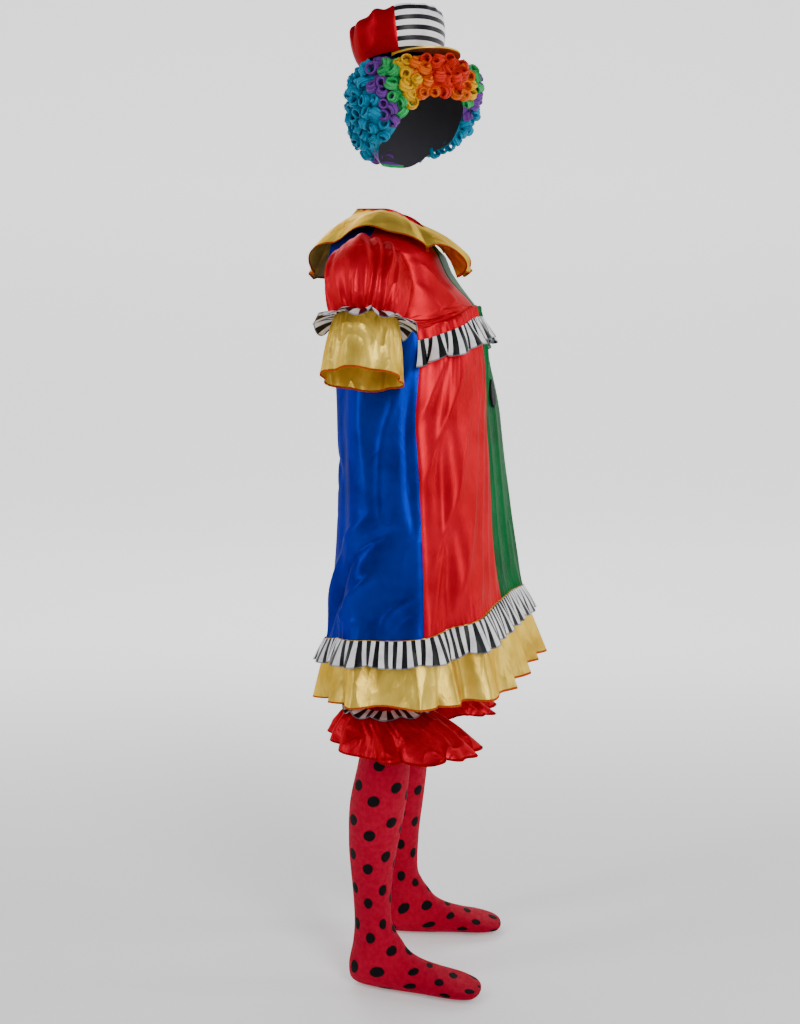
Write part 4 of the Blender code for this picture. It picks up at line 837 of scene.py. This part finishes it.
for side, word in ((-1, "right"), (1, "left")):
    ring, angles = circle_of(224)
    start = armhole_line(side, len(ring)) + np.array([side * 0.0006, 0.0, 0.0])
    end = elastic_ring(side, angles, ELASTIC_RADIUS, 0.0)
    reach = np.linalg.norm(end - start, axis=1, keepdims=True)
    radial = unit(end - ELASTIC_CENTRE * (side, 1, 1))
    leave = start + reach * 0.42 * np.array([side * 1.0, 0.0, 0.25])
    arrive = end - sleeve_ways(side)[0] * reach * 0.42 + radial * reach * 0.30
    # Each gather runs along a cubic Bezier curve from the armhole to the elastic.
    share = steps_of(56)
    t = share[..., None]
    grid = ((1 - t) ** 3 * start + 3 * (1 - t) ** 2 * t * leave
            + 3 * (1 - t) * t**2 * arrive + t**3 * end)
    normals = grid_normals(grid, True, grid.mean(axis=1, keepdims=True))
    swirl = ring[None] + 0.012 * np.sin(2 * math.pi * (3 * ring[None] + share))
    bulge = np.sin(math.pi * np.clip(share, 0.001, 0.999))
    depth = 0.0034 * gathers(swirl, 8, 40 + side, 0.1) * np.sqrt(bulge)
    depth += 0.0034 * gathers(swirl, 19, 43 - side, 0.6) * fade(share, 0.30)
    depth += 0.0044 * gathers(swirl, 24, 47 + side, 0.5) * fade(1 - share, 0.20)
    depth += 0.0030 * gathers(swirl, 13, 53, 0.8) * bulge**1.5
    depth += (0.0014 * gathers(swirl, 37, 59, 0.5)
              * (fade(share, 0.12) + fade(1 - share, 0.08)))
    seam = fade(np.minimum(share, 1 - share), 0.012)
    grid = worn(grid + normals * (depth * (1 - seam) - 0.0008 * seam)[..., None], fully=True)
    piece = cloth(f"sleeve_puff_{word}", grid, SATIN_WALL, satin_sleeve, around=True)
    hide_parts(f"sleeve_{word}")

    ring, angles = circle_of(330)
    theta = 11 * angles + 0.5 * np.sin(2 * angles + side)
    swell = 1 + 0.3 * np.sin(3 * angles + 1) + 0.25 * np.sin(5 * angles)
    share = steps_of(10)
    reach = 0.034 * (1 - 0.78 * np.maximum(0.0, -np.cos(angles)) ** 1.5)
    radius = ELASTIC_RADIUS + 0.0016 + reach * share
    drop = (0.014 * share**1.1 + 0.0062 * swell * share * np.cos(theta)
            - 0.0020 * np.sin(math.pi * share)
            + 0.0011 * gathers(ring, 36, 61, 0.5) * fade(share, 0.3))
    lean = angles + 0.050 * share**1.5 * swell * np.sin(theta)
    grid = worn(elastic_ring(side, lean, radius, drop), fully=True)
    below = worn(elastic_ring(side, angles, 0.0, 0.3), fully=True)
    piece = cloth(f"sleeve_frill_{word}", grid, STRIP_WALL, striped_satin, below, around=True,
                  flat_u=np.linspace(0, FRILL_STRIPES, 331) * STRIPE_PERIOD)
    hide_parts(f"sleeve_ruffle_{word}")

    ring, angles = circle_of(240)
    share = steps_of(28)
    theta = 6 * angles + 0.4 * np.sin(2 * angles + 1)
    swell = 1 + 0.25 * np.sin(3 * angles + 2)
    middle = np.sin(math.pi * np.clip(share * 1.15, 0, 1)) * (1 - 0.4 * share)
    radius = (ELASTIC_RADIUS + 0.014 * share**0.6 + 0.0052 * swell * share * np.cos(theta)
              + 0.0022 * gathers(ring, 17, 71 + side, 0.5) * middle
              + 0.0013 * gathers(ring, 33, 73, 0.5) * fade(share, 0.15))
    lean = angles + 0.045 * share**1.5 * np.sin(theta) + 0.05 * share * np.sin(2 * angles)
    grid = worn(elastic_ring(side, lean, radius, 0.0006 + BELL_DEPTH * share), fully=True)
    piece = cloth(f"sleeve_bell_{word}", grid, STRIP_WALL, satin_gold, around=True)
    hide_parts(f"sleeve_flounce_{word}")

# ---- Bloomers
# Loose knee-length bloomers of red satin: two leg pieces joined at the middle, an elastic casing
# at the waist, an elastic below the knee with a striped strip round it, and a wide red flounce
# that is overlocked in red.
WAIST_TOP, WAIST_HEIGHT, WAIST_Y = 1.062, 0.030, -0.050
WAIST_HALF_WIDTH, WAIST_HALF_DEPTH = 0.142, 0.105
# Height, half width, front, back, leg's middle, leg's radius, and how far the leg is a tube.
BLOOMER_ROWS = np.array((
    (1.0315, 0.142, -0.155, 0.055, 0.090, 0.080, 0.0),
    (0.960, 0.168, -0.158, 0.056, 0.090, 0.082, 0.0),
    (0.860, 0.186, -0.156, 0.050, 0.090, 0.083, 0.0),
    (0.745, 0.188, -0.138, 0.044, 0.097, 0.083, 0.0),
    (0.670, 0.190, -0.128, 0.046, 0.102, 0.080, 0.75),
    (0.590, 0.190, -0.120, 0.046, 0.104, 0.075, 1.0),
    (0.540, 0.190, -0.110, 0.046, 0.105, 0.068, 1.0),
    (0.516, 0.190, -0.110, 0.046, 0.105, 0.0512, 1.0)))
SEAT_TOP, SEAT_LOW, LEG_TOP, KNEE_Z, KNEE_RADIUS = 1.0315, 0.748, 0.745, 0.516, 0.0512
# The knee flounce's lower edge.
FLARE_X, FLARE_AHEAD, FLARE_Z, FLARE_HALF_WIDTH, FLARE_HALF_DEPTH = 0.122, 0.038, 0.446, 0.100, 0.128
KNEE_STRIPES = 24
# Side, word, knee's x, ankle's y, knee's y, turn of the foot in degrees.
LEGS = ((-1, "right", 0.105, 0.000, -0.028, 6.0), (1, "left", 0.105, 0.015, 0.005, 21.0))
satin_bloomer = satin("satin_bloomer", (0.62, 0.006, 0.024), (0.44, 0.003, 0.014), 1.0,
                      (0.50, 0.010, 0.012), crush=0.0022)

ring, angles = circle_of(200)
share = steps_of(12)
puff = 1 + np.sin(math.pi * share) * (0.006 + 0.004 * gathers(ring, 44, 81, 0.4)) / 0.12
oval = upright_oval(-angles, WAIST_HALF_WIDTH * puff, WAIST_HALF_DEPTH * puff,
                    WAIST_TOP - WAIST_HEIGHT * share)
grid = worn(oval + (0.0, WAIST_Y, 0.0))
piece = cloth("bloomer_casing", grid, SATIN_WALL, satin_red, around=True)
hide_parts("bloomer_waistband")

for side, word, knee_x, ankle_y, knee_y, turn in LEGS:
    # Each row is half a seat section, closed along the middle, that turns into a round leg.
    outer_count, inner_count, seat_rows = 96, 25, 30
    z_rows = np.concatenate([np.linspace(SEAT_TOP, SEAT_LOW, seat_rows),
                             np.linspace(LEG_TOP, KNEE_Z, 40)])
    half_width, front_y, back_y, leg_x, radius, tube = (
        np.interp(z_rows, BLOOMER_ROWS[::-1, 0], BLOOMER_ROWS[::-1, k])[:, None] for k in range(1, 7))
    middle, half_depth = (front_y + back_y) / 2, (back_y - front_y) / 2
    half_turn, plain = np.linspace(0, math.pi, outer_count), np.zeros(inner_count)
    inner = np.linspace(0, 1, inner_count + 2)[1:-1]
    tube_turn = np.radians(np.concatenate([np.linspace(-50, 230, outer_count), 230 + 80 * inner]))
    seat_x = np.concatenate([half_width * np.sin(half_turn) + 0.0002,
                             np.full((len(z_rows), inner_count), 0.003)], axis=1)
    seat_y = np.concatenate([middle - half_depth * np.cos(half_turn),
                             back_y + (front_y - back_y) * inner], axis=1)
    around = np.linspace(0, 1, seat_x.shape[1], endpoint=False)
    down = (SEAT_TOP - z_rows)[:, None] / (SEAT_TOP - KNEE_Z)
    crease = (0.0030 * gathers(around, 14, 91 + side, 0.5) * np.sin(math.pi * down)
              + 0.0022 * gathers(around, 34, 93, 0.5)
              * (fade(down, 0.10) + fade(1 - down, 0.06)))
    x = seat_x * (1 - tube) + (leg_x + (radius + crease) * np.sin(tube_turn)) * tube
    y = (seat_y * (1 - tube)
         + (middle + (knee_y - middle) * tube - (radius + crease) * np.cos(tube_turn)) * tube)
    loose = crease * (1 - tube) * np.concatenate([np.sin(half_turn) ** 0.5, plain])
    x = x + loose * np.concatenate([np.sin(half_turn), plain])
    y = y - loose * np.concatenate([np.cos(half_turn), plain])
    grid = np.stack([side * np.maximum(x, 0.0002), y, z_rows[:, None] + 0 * x], axis=-1)
    for suffix, part, closed, cut in (
            ("seat", grid[:seat_rows + 1, :outer_count], False, (0.42, 0.30)),
            ("leg", grid[seat_rows:], True, (0.58, 0.26))):
        shaped = worn(part)
        inside = np.array([side * 0.09, -0.045, 0.0]) + shaped * UPRIGHT
        piece = cloth(f"bloomer_{suffix}_{word}", shaped, SATIN_WALL, satin_red, inside, around=closed)
        if suffix == "leg":
            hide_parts(f"bloomer_{word}")

    ring, angles = circle_of(300)
    theta = 10 * angles + 0.4 * np.sin(3 * angles)
    swell = 1 + 0.3 * np.sin(2 * angles + 1)
    share = steps_of(9)
    radius = KNEE_RADIUS + 0.0016 + 0.0262 * share
    z = (KNEE_Z - 0.006 * share - 0.0042 * swell * share * np.cos(theta)
         + 0.001 * gathers(ring, 30, 95, 0.5) * fade(share, 0.3))
    lean = angles + 0.05 * share**1.5 * np.sin(theta)
    knee = np.array([side * knee_x, knee_y, 0.0])
    grid = worn(knee + upright_oval(lean, radius, radius, z))
    piece = cloth(f"knee_frill_{word}", grid, STRIP_WALL, striped_satin,
                  knee - UPRIGHT * 3.0, around=True,
                  flat_u=np.linspace(0, KNEE_STRIPES, 301) * STRIPE_PERIOD)
    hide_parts(f"knee_ruffle_{word}")

    share = steps_of(24)
    theta = (12 * angles + 0.9 * np.sin(2 * angles) + 0.8 * np.sin(5 * angles + 1)
             + 0.5 * np.sin(7 * angles + 2 * side))
    swell = 1 + 0.40 * np.sin(3 * angles + side) + 0.30 * np.sin(5 * angles)
    wave = (0.011 * share * swell * (np.cos(theta) + 0.2 * np.cos(2 * theta)) / 1.1
            + 0.0024 * gathers(ring + 0.01 * np.sin(9 * share), 30, 97, 0.7) * fade(share, 0.6)
            + 0.004 * np.sin(math.pi * share))
    half_width, half_depth = (KNEE_RADIUS + (half - KNEE_RADIUS) * share**0.75 + wave
                              for half in (FLARE_HALF_WIDTH, FLARE_HALF_DEPTH))
    lean = angles + 0.075 * share**1.5 * swell * np.sin(theta)
    z = (KNEE_Z - 0.0006 + (FLARE_Z - KNEE_Z) * share
         + share * (0.006 * (1 - np.cos(angles)) - 0.004 * np.sin(3 * angles + 1)))
    middle = knee + np.array([side * (FLARE_X - knee_x), -FLARE_AHEAD, 0.0]) * share[..., None]
    grid = worn(middle + upright_oval(lean, half_width, half_depth, z))
    piece = cloth(f"knee_bell_{word}", grid, STRIP_WALL, satin_bloomer, around=True)
    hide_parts(f"knee_flounce_{word}")

# ---- Stockings
# Knee stockings of fine red knit with printed black dots in staggered rows. Each is one tube with
# a seamless foot.
LEAN_LOW_Z, LEAN_HEIGHT = 0.190, 0.290
DOTS_AROUND, DOT_PITCH, DOT_RADIUS, TUBE_ROUND, DOT_SHIFT = 4, 0.064, 0.0100, 0.068, 0.13
# Front y, front z, back y, back z and half width, from the top to the toe.
STOCKING_ROWS = np.array((
    (-0.0485, 0.545, 0.0485, 0.545, 0.0485), (-0.0485, 0.480, 0.0485, 0.480, 0.0485),
    (-0.0460, 0.425, 0.0450, 0.425, 0.0450), (-0.0490, 0.340, 0.0520, 0.340, 0.0480),
    (-0.0450, 0.268, 0.0460, 0.268, 0.0430), (-0.0370, 0.190, 0.0355, 0.190, 0.0345),
    (-0.0350, 0.125, 0.0310, 0.122, 0.0300), (-0.0440, 0.100, 0.0335, 0.080, 0.0300),
    (-0.0550, 0.084, 0.0415, 0.035, 0.0310), (-0.0690, 0.066, 0.0330, 0.008, 0.0320),
    (-0.0910, 0.052, -0.0120, 0.001, 0.0350), (-0.1240, 0.039, -0.0900, 0.001, 0.0400),
    (-0.1580, 0.029, -0.1480, 0.001, 0.0430), (-0.1840, 0.021, -0.1820, 0.002, 0.0350),
    (-0.1960, 0.016, -0.1950, 0.006, 0.0190), (-0.1990, 0.0110, -0.1990, 0.0110, 0.0002)))
knit = Finish("stocking_knit", Specular_IOR_Level=0.08)
place, turn_share, up = knit.cloth_place()
solid = knit.solid_place()
wobble = (knit.noise(solid, 40.0, 2.0) - 0.5) * 0.0035
dots = None
for shift, lag in ((0.0, 0.0), (0.5, 0.35)):
    across = ((turn_share * DOTS_AROUND + shift).math("FRACT") - 0.5) * TUBE_ROUND + wobble
    along = ((up * (1 / DOT_PITCH) + lag).math("FRACT") - 0.5) * DOT_PITCH + wobble
    apart = (across * across + along * along).math("SQRT")
    dot = (apart * -1.0 + DOT_RADIUS).between(-0.0005, 0.0005)
    dots = dot if dots is None else dots.math("MAXIMUM", dot)
mottle = knit.noise(solid, 120.0, 2.0).between(0.3, 0.7)
rib = knit.node("ShaderNodeTexWave", {"wave_type": "BANDS", "bands_direction": "X"},
                {"Vector": place, "Scale": 80.0, "Distortion": 0.6, "Detail": 1.0})
tone = knit.mix(mottle, (0.46, 0.001, 0.026), (0.39, 0.0, 0.020))
knit.coat(knit.mix(dots, tone, (0.004, 0.003, 0.004)), mottle * 0.1 + 0.62)
knit.relief((rib, 0.0003), (knit.noise(solid, 1400.0, 1.0), 0.00012))
for side, word, knee_x, ankle_y, knee_y, turn in LEGS:
    stations = np.arange(len(STOCKING_ROWS), dtype=float)
    rows = np.concatenate([np.linspace(0, 9, 80), np.linspace(9, 15, 50)[1:]])
    front_y, front_z, back_y, back_z, half_width = (
        smooth_between(stations, STOCKING_ROWS, rows).T[..., None])
    half_width = np.maximum(half_width, 0.0002)
    angles = circle_of(72)[1]
    ahead = (1 + np.cos(angles)) / 2
    leg = np.stack([half_width * np.sin(angles), back_y + (front_y - back_y) * ahead,
                    np.maximum(back_z + (front_z - back_z) * ahead, 0.0008)], axis=-1)
    # The leg leans from the ankle to the knee.
    rise = np.clip((leg[..., 2:] - LEAN_LOW_Z) / LEAN_HEIGHT, 0.0, 1.0)
    lean = eased(rise) * (0.0, knee_y - ankle_y, 0.0)
    grid = worn(turned(leg, math.radians(turn)) + (side * knee_x, ankle_y, 0.0) + lean)
    piece = cloth(f"stocking_tube_{word}", grid, 0.0009, knit.material, around=True,
                  flat_u=np.linspace(0, 1, 73) + DOT_SHIFT * (side > 0))
    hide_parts(f"stocking_{word}")

# ---- Wig
# A knitted cap closely covered with wound ringlets of glossy fibre, in upright bands of colour:
# red over the face, then orange, yellow, green, purple and blue to both sides. Each ringlet is a
# short coil of a flat bundle of fibres; they are joined in one mesh.
HEAD, HEAD_TURN = np.array([-0.009, -0.054, 1.560]), math.radians(-29)
HEAD_RADII, WIG_RADII = np.array([0.078, 0.096, 0.088]), np.array([0.130, 0.122, 0.125])
HEAD_LOW, WIG_LOW, WIG_SQUARENESS = 0.120, 0.106, 3.0
# The wig's lower edge: degrees from the face, and height from the head's middle.
WIG_EDGE = np.array(((0, 0.032), (35, 0.028), (60, 0.004), (80, -0.034), (105, -0.050),
                     (135, -0.076), (180, -0.082)))
HAT_BASE, HAT_TILT = np.array([-0.010, -0.024, 1.663]), math.radians(9)
HAIR = {"hair_red": (0.74, 0.022, 0.006), "hair_orange": (0.90, 0.135, 0.002),
        "hair_yellow": (0.88, 0.46, 0.004), "hair_green": (0.032, 0.45, 0.115),
        "hair_purple": (0.160, 0.042, 0.32), "hair_blue": (0.0, 0.245, 0.43)}
# Band borders in degrees to each side of a line 12 degrees off the face; then, behind the ears,
# the heights below which the colours of lower rows begin, and which colours those are.
BAND_LINE, BAND_BORDERS, REAR_TURN = 12.0, (13, 29, 40, 53, 68), 88
LOW_BANDS = ((-0.062, 4), (-0.075, 3), (-0.086, 2))


hat_seat = turned(HAT_BASE - HEAD, -HEAD_TURN)


def head_place(points):
    """Wig points turned with the head and moved to their place."""
    return turned(points, HEAD_TURN) + HEAD - UPRIGHT * NECK_HEIGHT


def below_hat(points, below):
    """Wig points, from the head's middle, pulled in to stay a distance below the hat's edge, and
    14 mm more below its peak."""
    up = np.array([0, math.sin(HAT_TILT), math.cos(HAT_TILT)])
    ahead = np.array([0, -math.cos(HAT_TILT), math.sin(HAT_TILT)])
    limit = hat_seat @ up - below - np.where((points - hat_seat) @ ahead < 0.030, 0.0006, 0.0140)
    return points * np.minimum(1.0, limit / np.maximum(points @ up, 1e-6))[..., None]


def wig_skin(angles, share):
    """The head's and the curls' surfaces by angle from the face and by share of the way from the
    crown to the wig's edge: ellipsoids, the outer one squared above its middle."""
    around = np.degrees(np.abs((angles + math.pi) % (2 * math.pi) - math.pi))
    edge = smooth_between(WIG_EDGE[:, 0], WIG_EDGE[:, 1], around)
    polar = share * np.arccos(edge / np.where(edge < 0, HEAD_LOW, HEAD_RADII[2]))
    way = np.stack([-np.sin(polar) * np.sin(angles), -np.sin(polar) * np.cos(angles),
                    np.cos(polar)], axis=-1)
    low = (way[..., 2:] < 0) * UPRIGHT
    inner = way * (HEAD_RADII + low * (HEAD_LOW - HEAD_RADII[2]))
    level, rise = np.hypot(way[..., 0], way[..., 1]), np.maximum(way[..., 2], 0)
    squared = (level**WIG_SQUARENESS + rise**WIG_SQUARENESS) ** (-1 / WIG_SQUARENESS)
    full = way * (WIG_RADII + low * (WIG_LOW - WIG_RADII[2]))
    full = full * np.where(rise > 0, squared, 1.0)[..., None]
    outer = inner + (full - inner) * (1 - share**10 * 0.70)[..., None]
    return way, inner, outer


def hair_colour(points, chance):
    """Which colour a place on the wig has, by its angle from the face and its height, with the
    border between two bands moved by a chance from -0.5 to 0.5."""
    turn = np.degrees(np.arctan2(-points[..., 0], -points[..., 1]))
    height = points[..., 2]
    apart = np.abs(turn - BAND_LINE) + chance * 9 - 14 * np.clip((height - 0.025) / 0.08, -1, 1)
    kind = np.searchsorted(BAND_BORDERS, np.maximum(apart, 0))
    for below, low_kind in LOW_BANDS:
        lower = (np.abs(turn) > REAR_TURN) & (height + chance * 0.012 < below)
        kind = np.where(lower, low_kind, kind)
    return kind


def solid_mesh(name, points, faces, kinds, finishes, corners):
    """A closed piece whose faces take their finish from a list by their kinds."""
    piece = mesh_piece(name, points, faces, corners, finishes, 70)
    piece.data.polygons.foreach_set("material_index", np.asarray(kinds, dtype=np.int32))
    return piece


hair = []
for name, colour in HAIR.items():
    finish = Finish(name, Specular_IOR_Level=0.28, Anisotropic=0.5,
                    Specular_Tint=tuple(0.3 + 0.7 * c for c in colour))
    place, along, across = finish.cloth_place()
    strand = finish.noise(finish.stretched(place, (22.0, 1500.0, 1.0)), 1.0, 2.0, 0.65)
    lock = finish.noise(finish.stretched(place, (40.0, 700.0, 1.0)), 1.0, 1.0)
    # Painted shade: in the gaps between the strands the colour falls to a fifth of its value. Some
    # strands are lighter.
    gap_shade, light = tuple(c * 0.22 for c in colour), tuple(min(1.0, c * 1.35 + 0.02) for c in colour)
    tone = finish.mix(strand.between(0.52, 0.72), colour, light)
    finish.coat(finish.mix(strand.between(0.36, 0.52), gap_shade, tone), lock * 0.15 + 0.38)
    finish.relief((lock, 0.0009), (strand, 0.0009))
    hair.append(finish.material)

# The cap: the curls' surface drawn in a little, joined at the edge to the head's surface.
columns, rows = 144, 40
angles, share = circle_of(columns)[1][None], steps_of(rows)
way, inner, outer = wig_skin(angles + 0 * share, share + 0 * angles)
lumps = (0.0025 * np.sin(angles * 23 + share * 9) * np.sin(share * 44 + 2 * np.sin(angles * 5))
         * np.sin(math.pi * share))
mid = below_hat(outer - way * (0.011 * (1 - 0.6 * share**8) + lumps)[..., None], 0.004)
skin = np.concatenate([mid, inner[::-1]]).reshape(-1, 3)
flat = np.stack(np.meshgrid(np.arange(columns + 1) * 0.0045, np.arange(2 * rows) * 0.005), axis=-1)
# The corners run the other way round, so that the faces point out.
faces, flat = (cells(a)[:, [0, 3, 2, 1]] for a in (numbered(2 * rows, columns, True), flat))
on_head = np.repeat(np.arange(2 * rows - 1) >= rows, columns)
net = Finish("wig_net", Base_Color=(0.030, 0.030, 0.040), Roughness=0.8)
centres = skin[faces].mean(axis=1)
tint = hair_colour(centres, np.random.default_rng(5).random(len(centres)) * 0.4 - 0.2)
piece = solid_mesh("wig_cap", head_place(skin), faces, np.where(on_head, len(HAIR), tint),
                   hair + [net.material], flat)
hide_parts("wig")

# Places for the ringlets: tried at random, and kept where no earlier one is too near and the hat
# is not in the way. At the rear they end short of the edge.
RINGLET_TRIES, RINGLET_SPACING, REAR_ANGLE, REAR_END = 9000, 0.0172, 1.95, 0.945
RADIUS_RANGE, TURNS_RANGE, RISE_PER_TURN = (0.0082, 0.0112), (2.0, 2.8), 0.0058
STEPS_PER_TURN, STRAND_SIDES, STRAND_THICK, STRAND_WIDE = 15, 6, 0.0024, 0.0040
chance = np.random.default_rng(12)
share = np.minimum(np.sqrt(chance.uniform(0.02, 1.12, RINGLET_TRIES)), 1.0)
angles = chance.uniform(-math.pi, math.pi, RINGLET_TRIES)
rear = np.abs(angles) > REAR_ANGLE
share = np.where(rear, np.minimum(share, REAR_END), share)
way, inner, outer = wig_skin(angles, share)
kept = []
for k, point in enumerate(outer):
    under_hat = np.hypot(*(point - hat_seat)[:2]) < 0.058 and point[2] > 0.06
    if not under_hat and all(np.linalg.norm(point - outer[m]) > RINGLET_SPACING for m in kept):
        kept.append(k)
# Each ringlet is a helix whose flat section thins out at its ends.
points, faces, kinds, flats = [], [], [], []
around = circle_of(STRAND_SIDES)[1][None, :, None]
base = 0
for k in kept:
    radius, turns = chance.uniform(*RADIUS_RANGE), chance.uniform(*TURNS_RANGE)
    steps = int(turns * STEPS_PER_TURN)
    t = np.linspace(0, 1, steps + 1)
    axis = unit(way[k] + chance.normal(0, 0.62, 3))
    first = unit(np.cross(axis, chance.normal(0, 1, 3)))
    second = np.cross(axis, first)
    turn = t * turns * 2 * math.pi + chance.uniform(0, 6.28)
    if chance.random() < 0.5:
        second = -second
    size = radius * (0.72 + 0.28 * np.sin(math.pi * np.clip(t * 1.15, 0, 1)))
    sunk = (0.0045 + chance.uniform(-0.002, 0.004)) * (1 - 0.7 * share[k] ** 8)
    centre = outer[k] - way[k] * (sunk - 0.0045 * rear[k] * share[k] ** 8)
    centre = below_hat(centre[None], radius + 0.004)[0]
    out = first * np.cos(turn)[:, None] + second * np.sin(turn)[:, None]
    line = centre + out * size[:, None] + axis * ((t - 0.5) * RISE_PER_TURN * turns)[:, None]
    end = np.sin(math.pi * np.clip(np.minimum(t, 1 - t) * 9, 0, 0.5))
    thick = (0.15 + 0.85 * end)[:, None, None]
    tube = (line[:, None] + out[:, None] * np.cos(around) * STRAND_THICK * thick
            + axis * np.sin(around) * STRAND_WIDE * thick)
    points.append(tube.reshape(-1, 3))
    faces.append(cells(numbered(steps + 1, STRAND_SIDES, True)) + base)
    base += len(points[-1])
    shift = chance.uniform(0, 3)
    flat_u = t[:, None] * steps / STEPS_PER_TURN * 2 * math.pi * radius + shift
    flat_v = np.arange(STRAND_SIDES + 1) * 0.0027 + shift
    flats.append(cells(np.stack(np.broadcast_arrays(flat_u, flat_v), axis=-1)))
    kinds.append(np.full(len(faces[-1]), hair_colour(outer[k], chance.uniform(-0.5, 0.5))))
solid_mesh("wig_ringlets", head_place(np.concatenate(points)), np.concatenate(faces),
           np.concatenate(kinds), hair, np.concatenate(flats))

# ---- Hat
# A soft cap of four gores, the front striped, the right red, the others blue, gathered into a
# narrow edge, with a stiff gold peak whose underside is painted orange as painted shade on the
# gold. It sits high on the curls.
HAT_MIDDLE, GORE_CUT, BAND_PERIOD = np.array([0.0, 0.0, 0.03]), (0.15, 0.17), 0.0184
# Radius and height from the edge to the top.
HAT_ROWS = np.array(((0.0740, 0.0000), (0.0820, 0.0200), (0.0870, 0.0480), (0.0865, 0.0720),
                     (0.0790, 0.0830), (0.0450, 0.0870), (0.0050, 0.0880)))
hat_red = satin("hat_red", (0.38, 0.002, 0.012), (0.24, 0.001, 0.007), 0.9, crush=0.0005)
hat_blue = satin("hat_blue", (0.0, 0.024, 0.42), (0.0, 0.014, 0.28), 0.9)


def hat_place(points):
    """Hat points tilted back, turned with the head and moved to their place."""
    cosine, sine = math.cos(HAT_TILT), math.sin(HAT_TILT)
    y, z = points[..., 1], points[..., 2]
    tilted = np.stack([points[..., 0], y * cosine + z * sine, z * cosine - y * sine], axis=-1)
    return turned(tilted, HEAD_TURN) + HAT_BASE - UPRIGHT * NECK_HEIGHT


banded = Finish("hat_stripes", Specular_IOR_Level=0.22)
place, along, up = banded.cloth_place()
solid = banded.solid_place()
bend = (banded.noise(banded.stretched(place, (22.0, 6.0, 1.0)), 1.0, 2.0) - 0.5) * 0.0022
black = (((up + bend + 0.0070) * (1 / BAND_PERIOD)).math("FRACT") - 0.5).math("ABSOLUTE")
grey = banded.noise(solid, 30.0, 3.0).between(0.40, 0.75)
white_tone = banded.mix(grey, (0.93, 0.93, 0.95), (0.70, 0.70, 0.75))
black_tone = banded.mix(grey, (0.006, 0.006, 0.009), (0.025, 0.025, 0.03))
banded.coat(banded.mix(black.between(0.222, 0.246), black_tone, white_tone), grey * 0.1 + 0.34)
crease = banded.noise(banded.stretched(place, (30.0, 60.0, 1.0), (0, 0, 0.6)), 1.0, 3.0)
banded.relief((crease, 0.0007))
for word, middle, finish, soft in (("front", 0, banded.material, 0.35), ("right", -90, hat_red, 1.0),
                                   ("back", 180, hat_blue, 1.0), ("left", 90, hat_blue, 1.0)):
    spread = np.radians(np.linspace(middle - 45, middle + 45, 49))[None]
    step = np.linspace(6, 0, 60)
    radius, height = smooth_between(np.arange(7.0), HAT_ROWS, step).T[..., None]
    lower = 1 - 0.22 * (1 - np.cos(spread) * radius / HAT_ROWS[0, 0]) / 2
    share = (6 - step)[:, None] / 6
    ring = (spread / (2 * math.pi)) % 1.0 + 0 * share
    crease = (0.0014 * gathers(ring, 44, 15, 0.5) * fade(share, 0.10)
              + 0.0032 * gathers(ring, 9, 17, 0.6) * np.sin(math.pi * np.clip(share * 1.5, 0, 1)) ** 2
              - 0.0060 * bell((spread + 2.05) % (2 * math.pi), 0.20) * bell(share - 0.42, 0.22))
    from_seam = np.abs(spread - math.radians(middle)) - math.pi / 4
    grid = upright_oval(spread, radius, radius, height * lower)
    depth = soft * crease * (1 - bell(from_seam, 0.05)) - 0.0011 * bell(from_seam, 0.02)
    grid = grid + grid_normals(grid, False, HAT_MIDDLE) * depth[..., None]
    piece = cloth(f"hat_{word}", hat_place(grid), SATIN_WALL, finish, hat_place(HAT_MIDDLE))
    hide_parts(f"hat_gore_{word}")

# The peak: an upper face, and a lower face 3 mm below it, closed at both ends; the lower face is
# painted orange, the gold in painted shade.
PEAK_COLUMNS, PEAK_ROWS, PEAK_HALF_ANGLE, PEAK_WALL = 61, 12, math.radians(56), 0.003
peak_gold = satin("peak_gold", GOLD, (0.60, 0.33, 0.025), 0.5)
# Painted shade: the peak's underside is its gold coloured orange, as it looks in shadow.
under = satin("peak_under_painted_shade", (0.80, 0.20, 0.02), (0.55, 0.10, 0.01), 0.5)
across = np.linspace(-1, 1, PEAK_COLUMNS)
turn = PEAK_HALF_ANGLE * across
reach = 0.004 + 0.050 * np.cos(across * math.pi / 2) ** 0.7
share = steps_of(PEAK_ROWS)
radius = HAT_ROWS[0, 0] - 0.004 + reach * share
top = upright_oval(turn, radius, radius, -0.0002 - 0.009 * share**1.5 * np.cos(turn * 0.8))
swell = 0.0006 * np.sqrt(np.clip(1 - (2 * share - 1) ** 2, 0, 1))[..., None] * UPRIGHT
skin = np.concatenate([top, (top - swell - UPRIGHT * PEAK_WALL)[::-1]])
count = len(skin)
skin = skin.reshape(-1, 3)
numbers = numbered(count, PEAK_COLUMNS)
faces = cells(np.concatenate([numbers, numbers[:1]]))
k = np.arange(PEAK_ROWS - 1)
ends = np.stack([k, k + 1, count - 2 - k, count - 1 - k], axis=1) * PEAK_COLUMNS
faces = np.concatenate([faces, ends[:, ::-1], ends + PEAK_COLUMNS - 1])
kinds = np.zeros(len(faces), dtype=int)
kinds[PEAK_ROWS * (PEAK_COLUMNS - 1):count * (PEAK_COLUMNS - 1)] = 1
piece = solid_mesh("hat_visor", hat_place(skin), faces, kinds, [peak_gold, under],
                   skin[faces][..., :2] + (0.0, 0.2))
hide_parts("hat_peak")
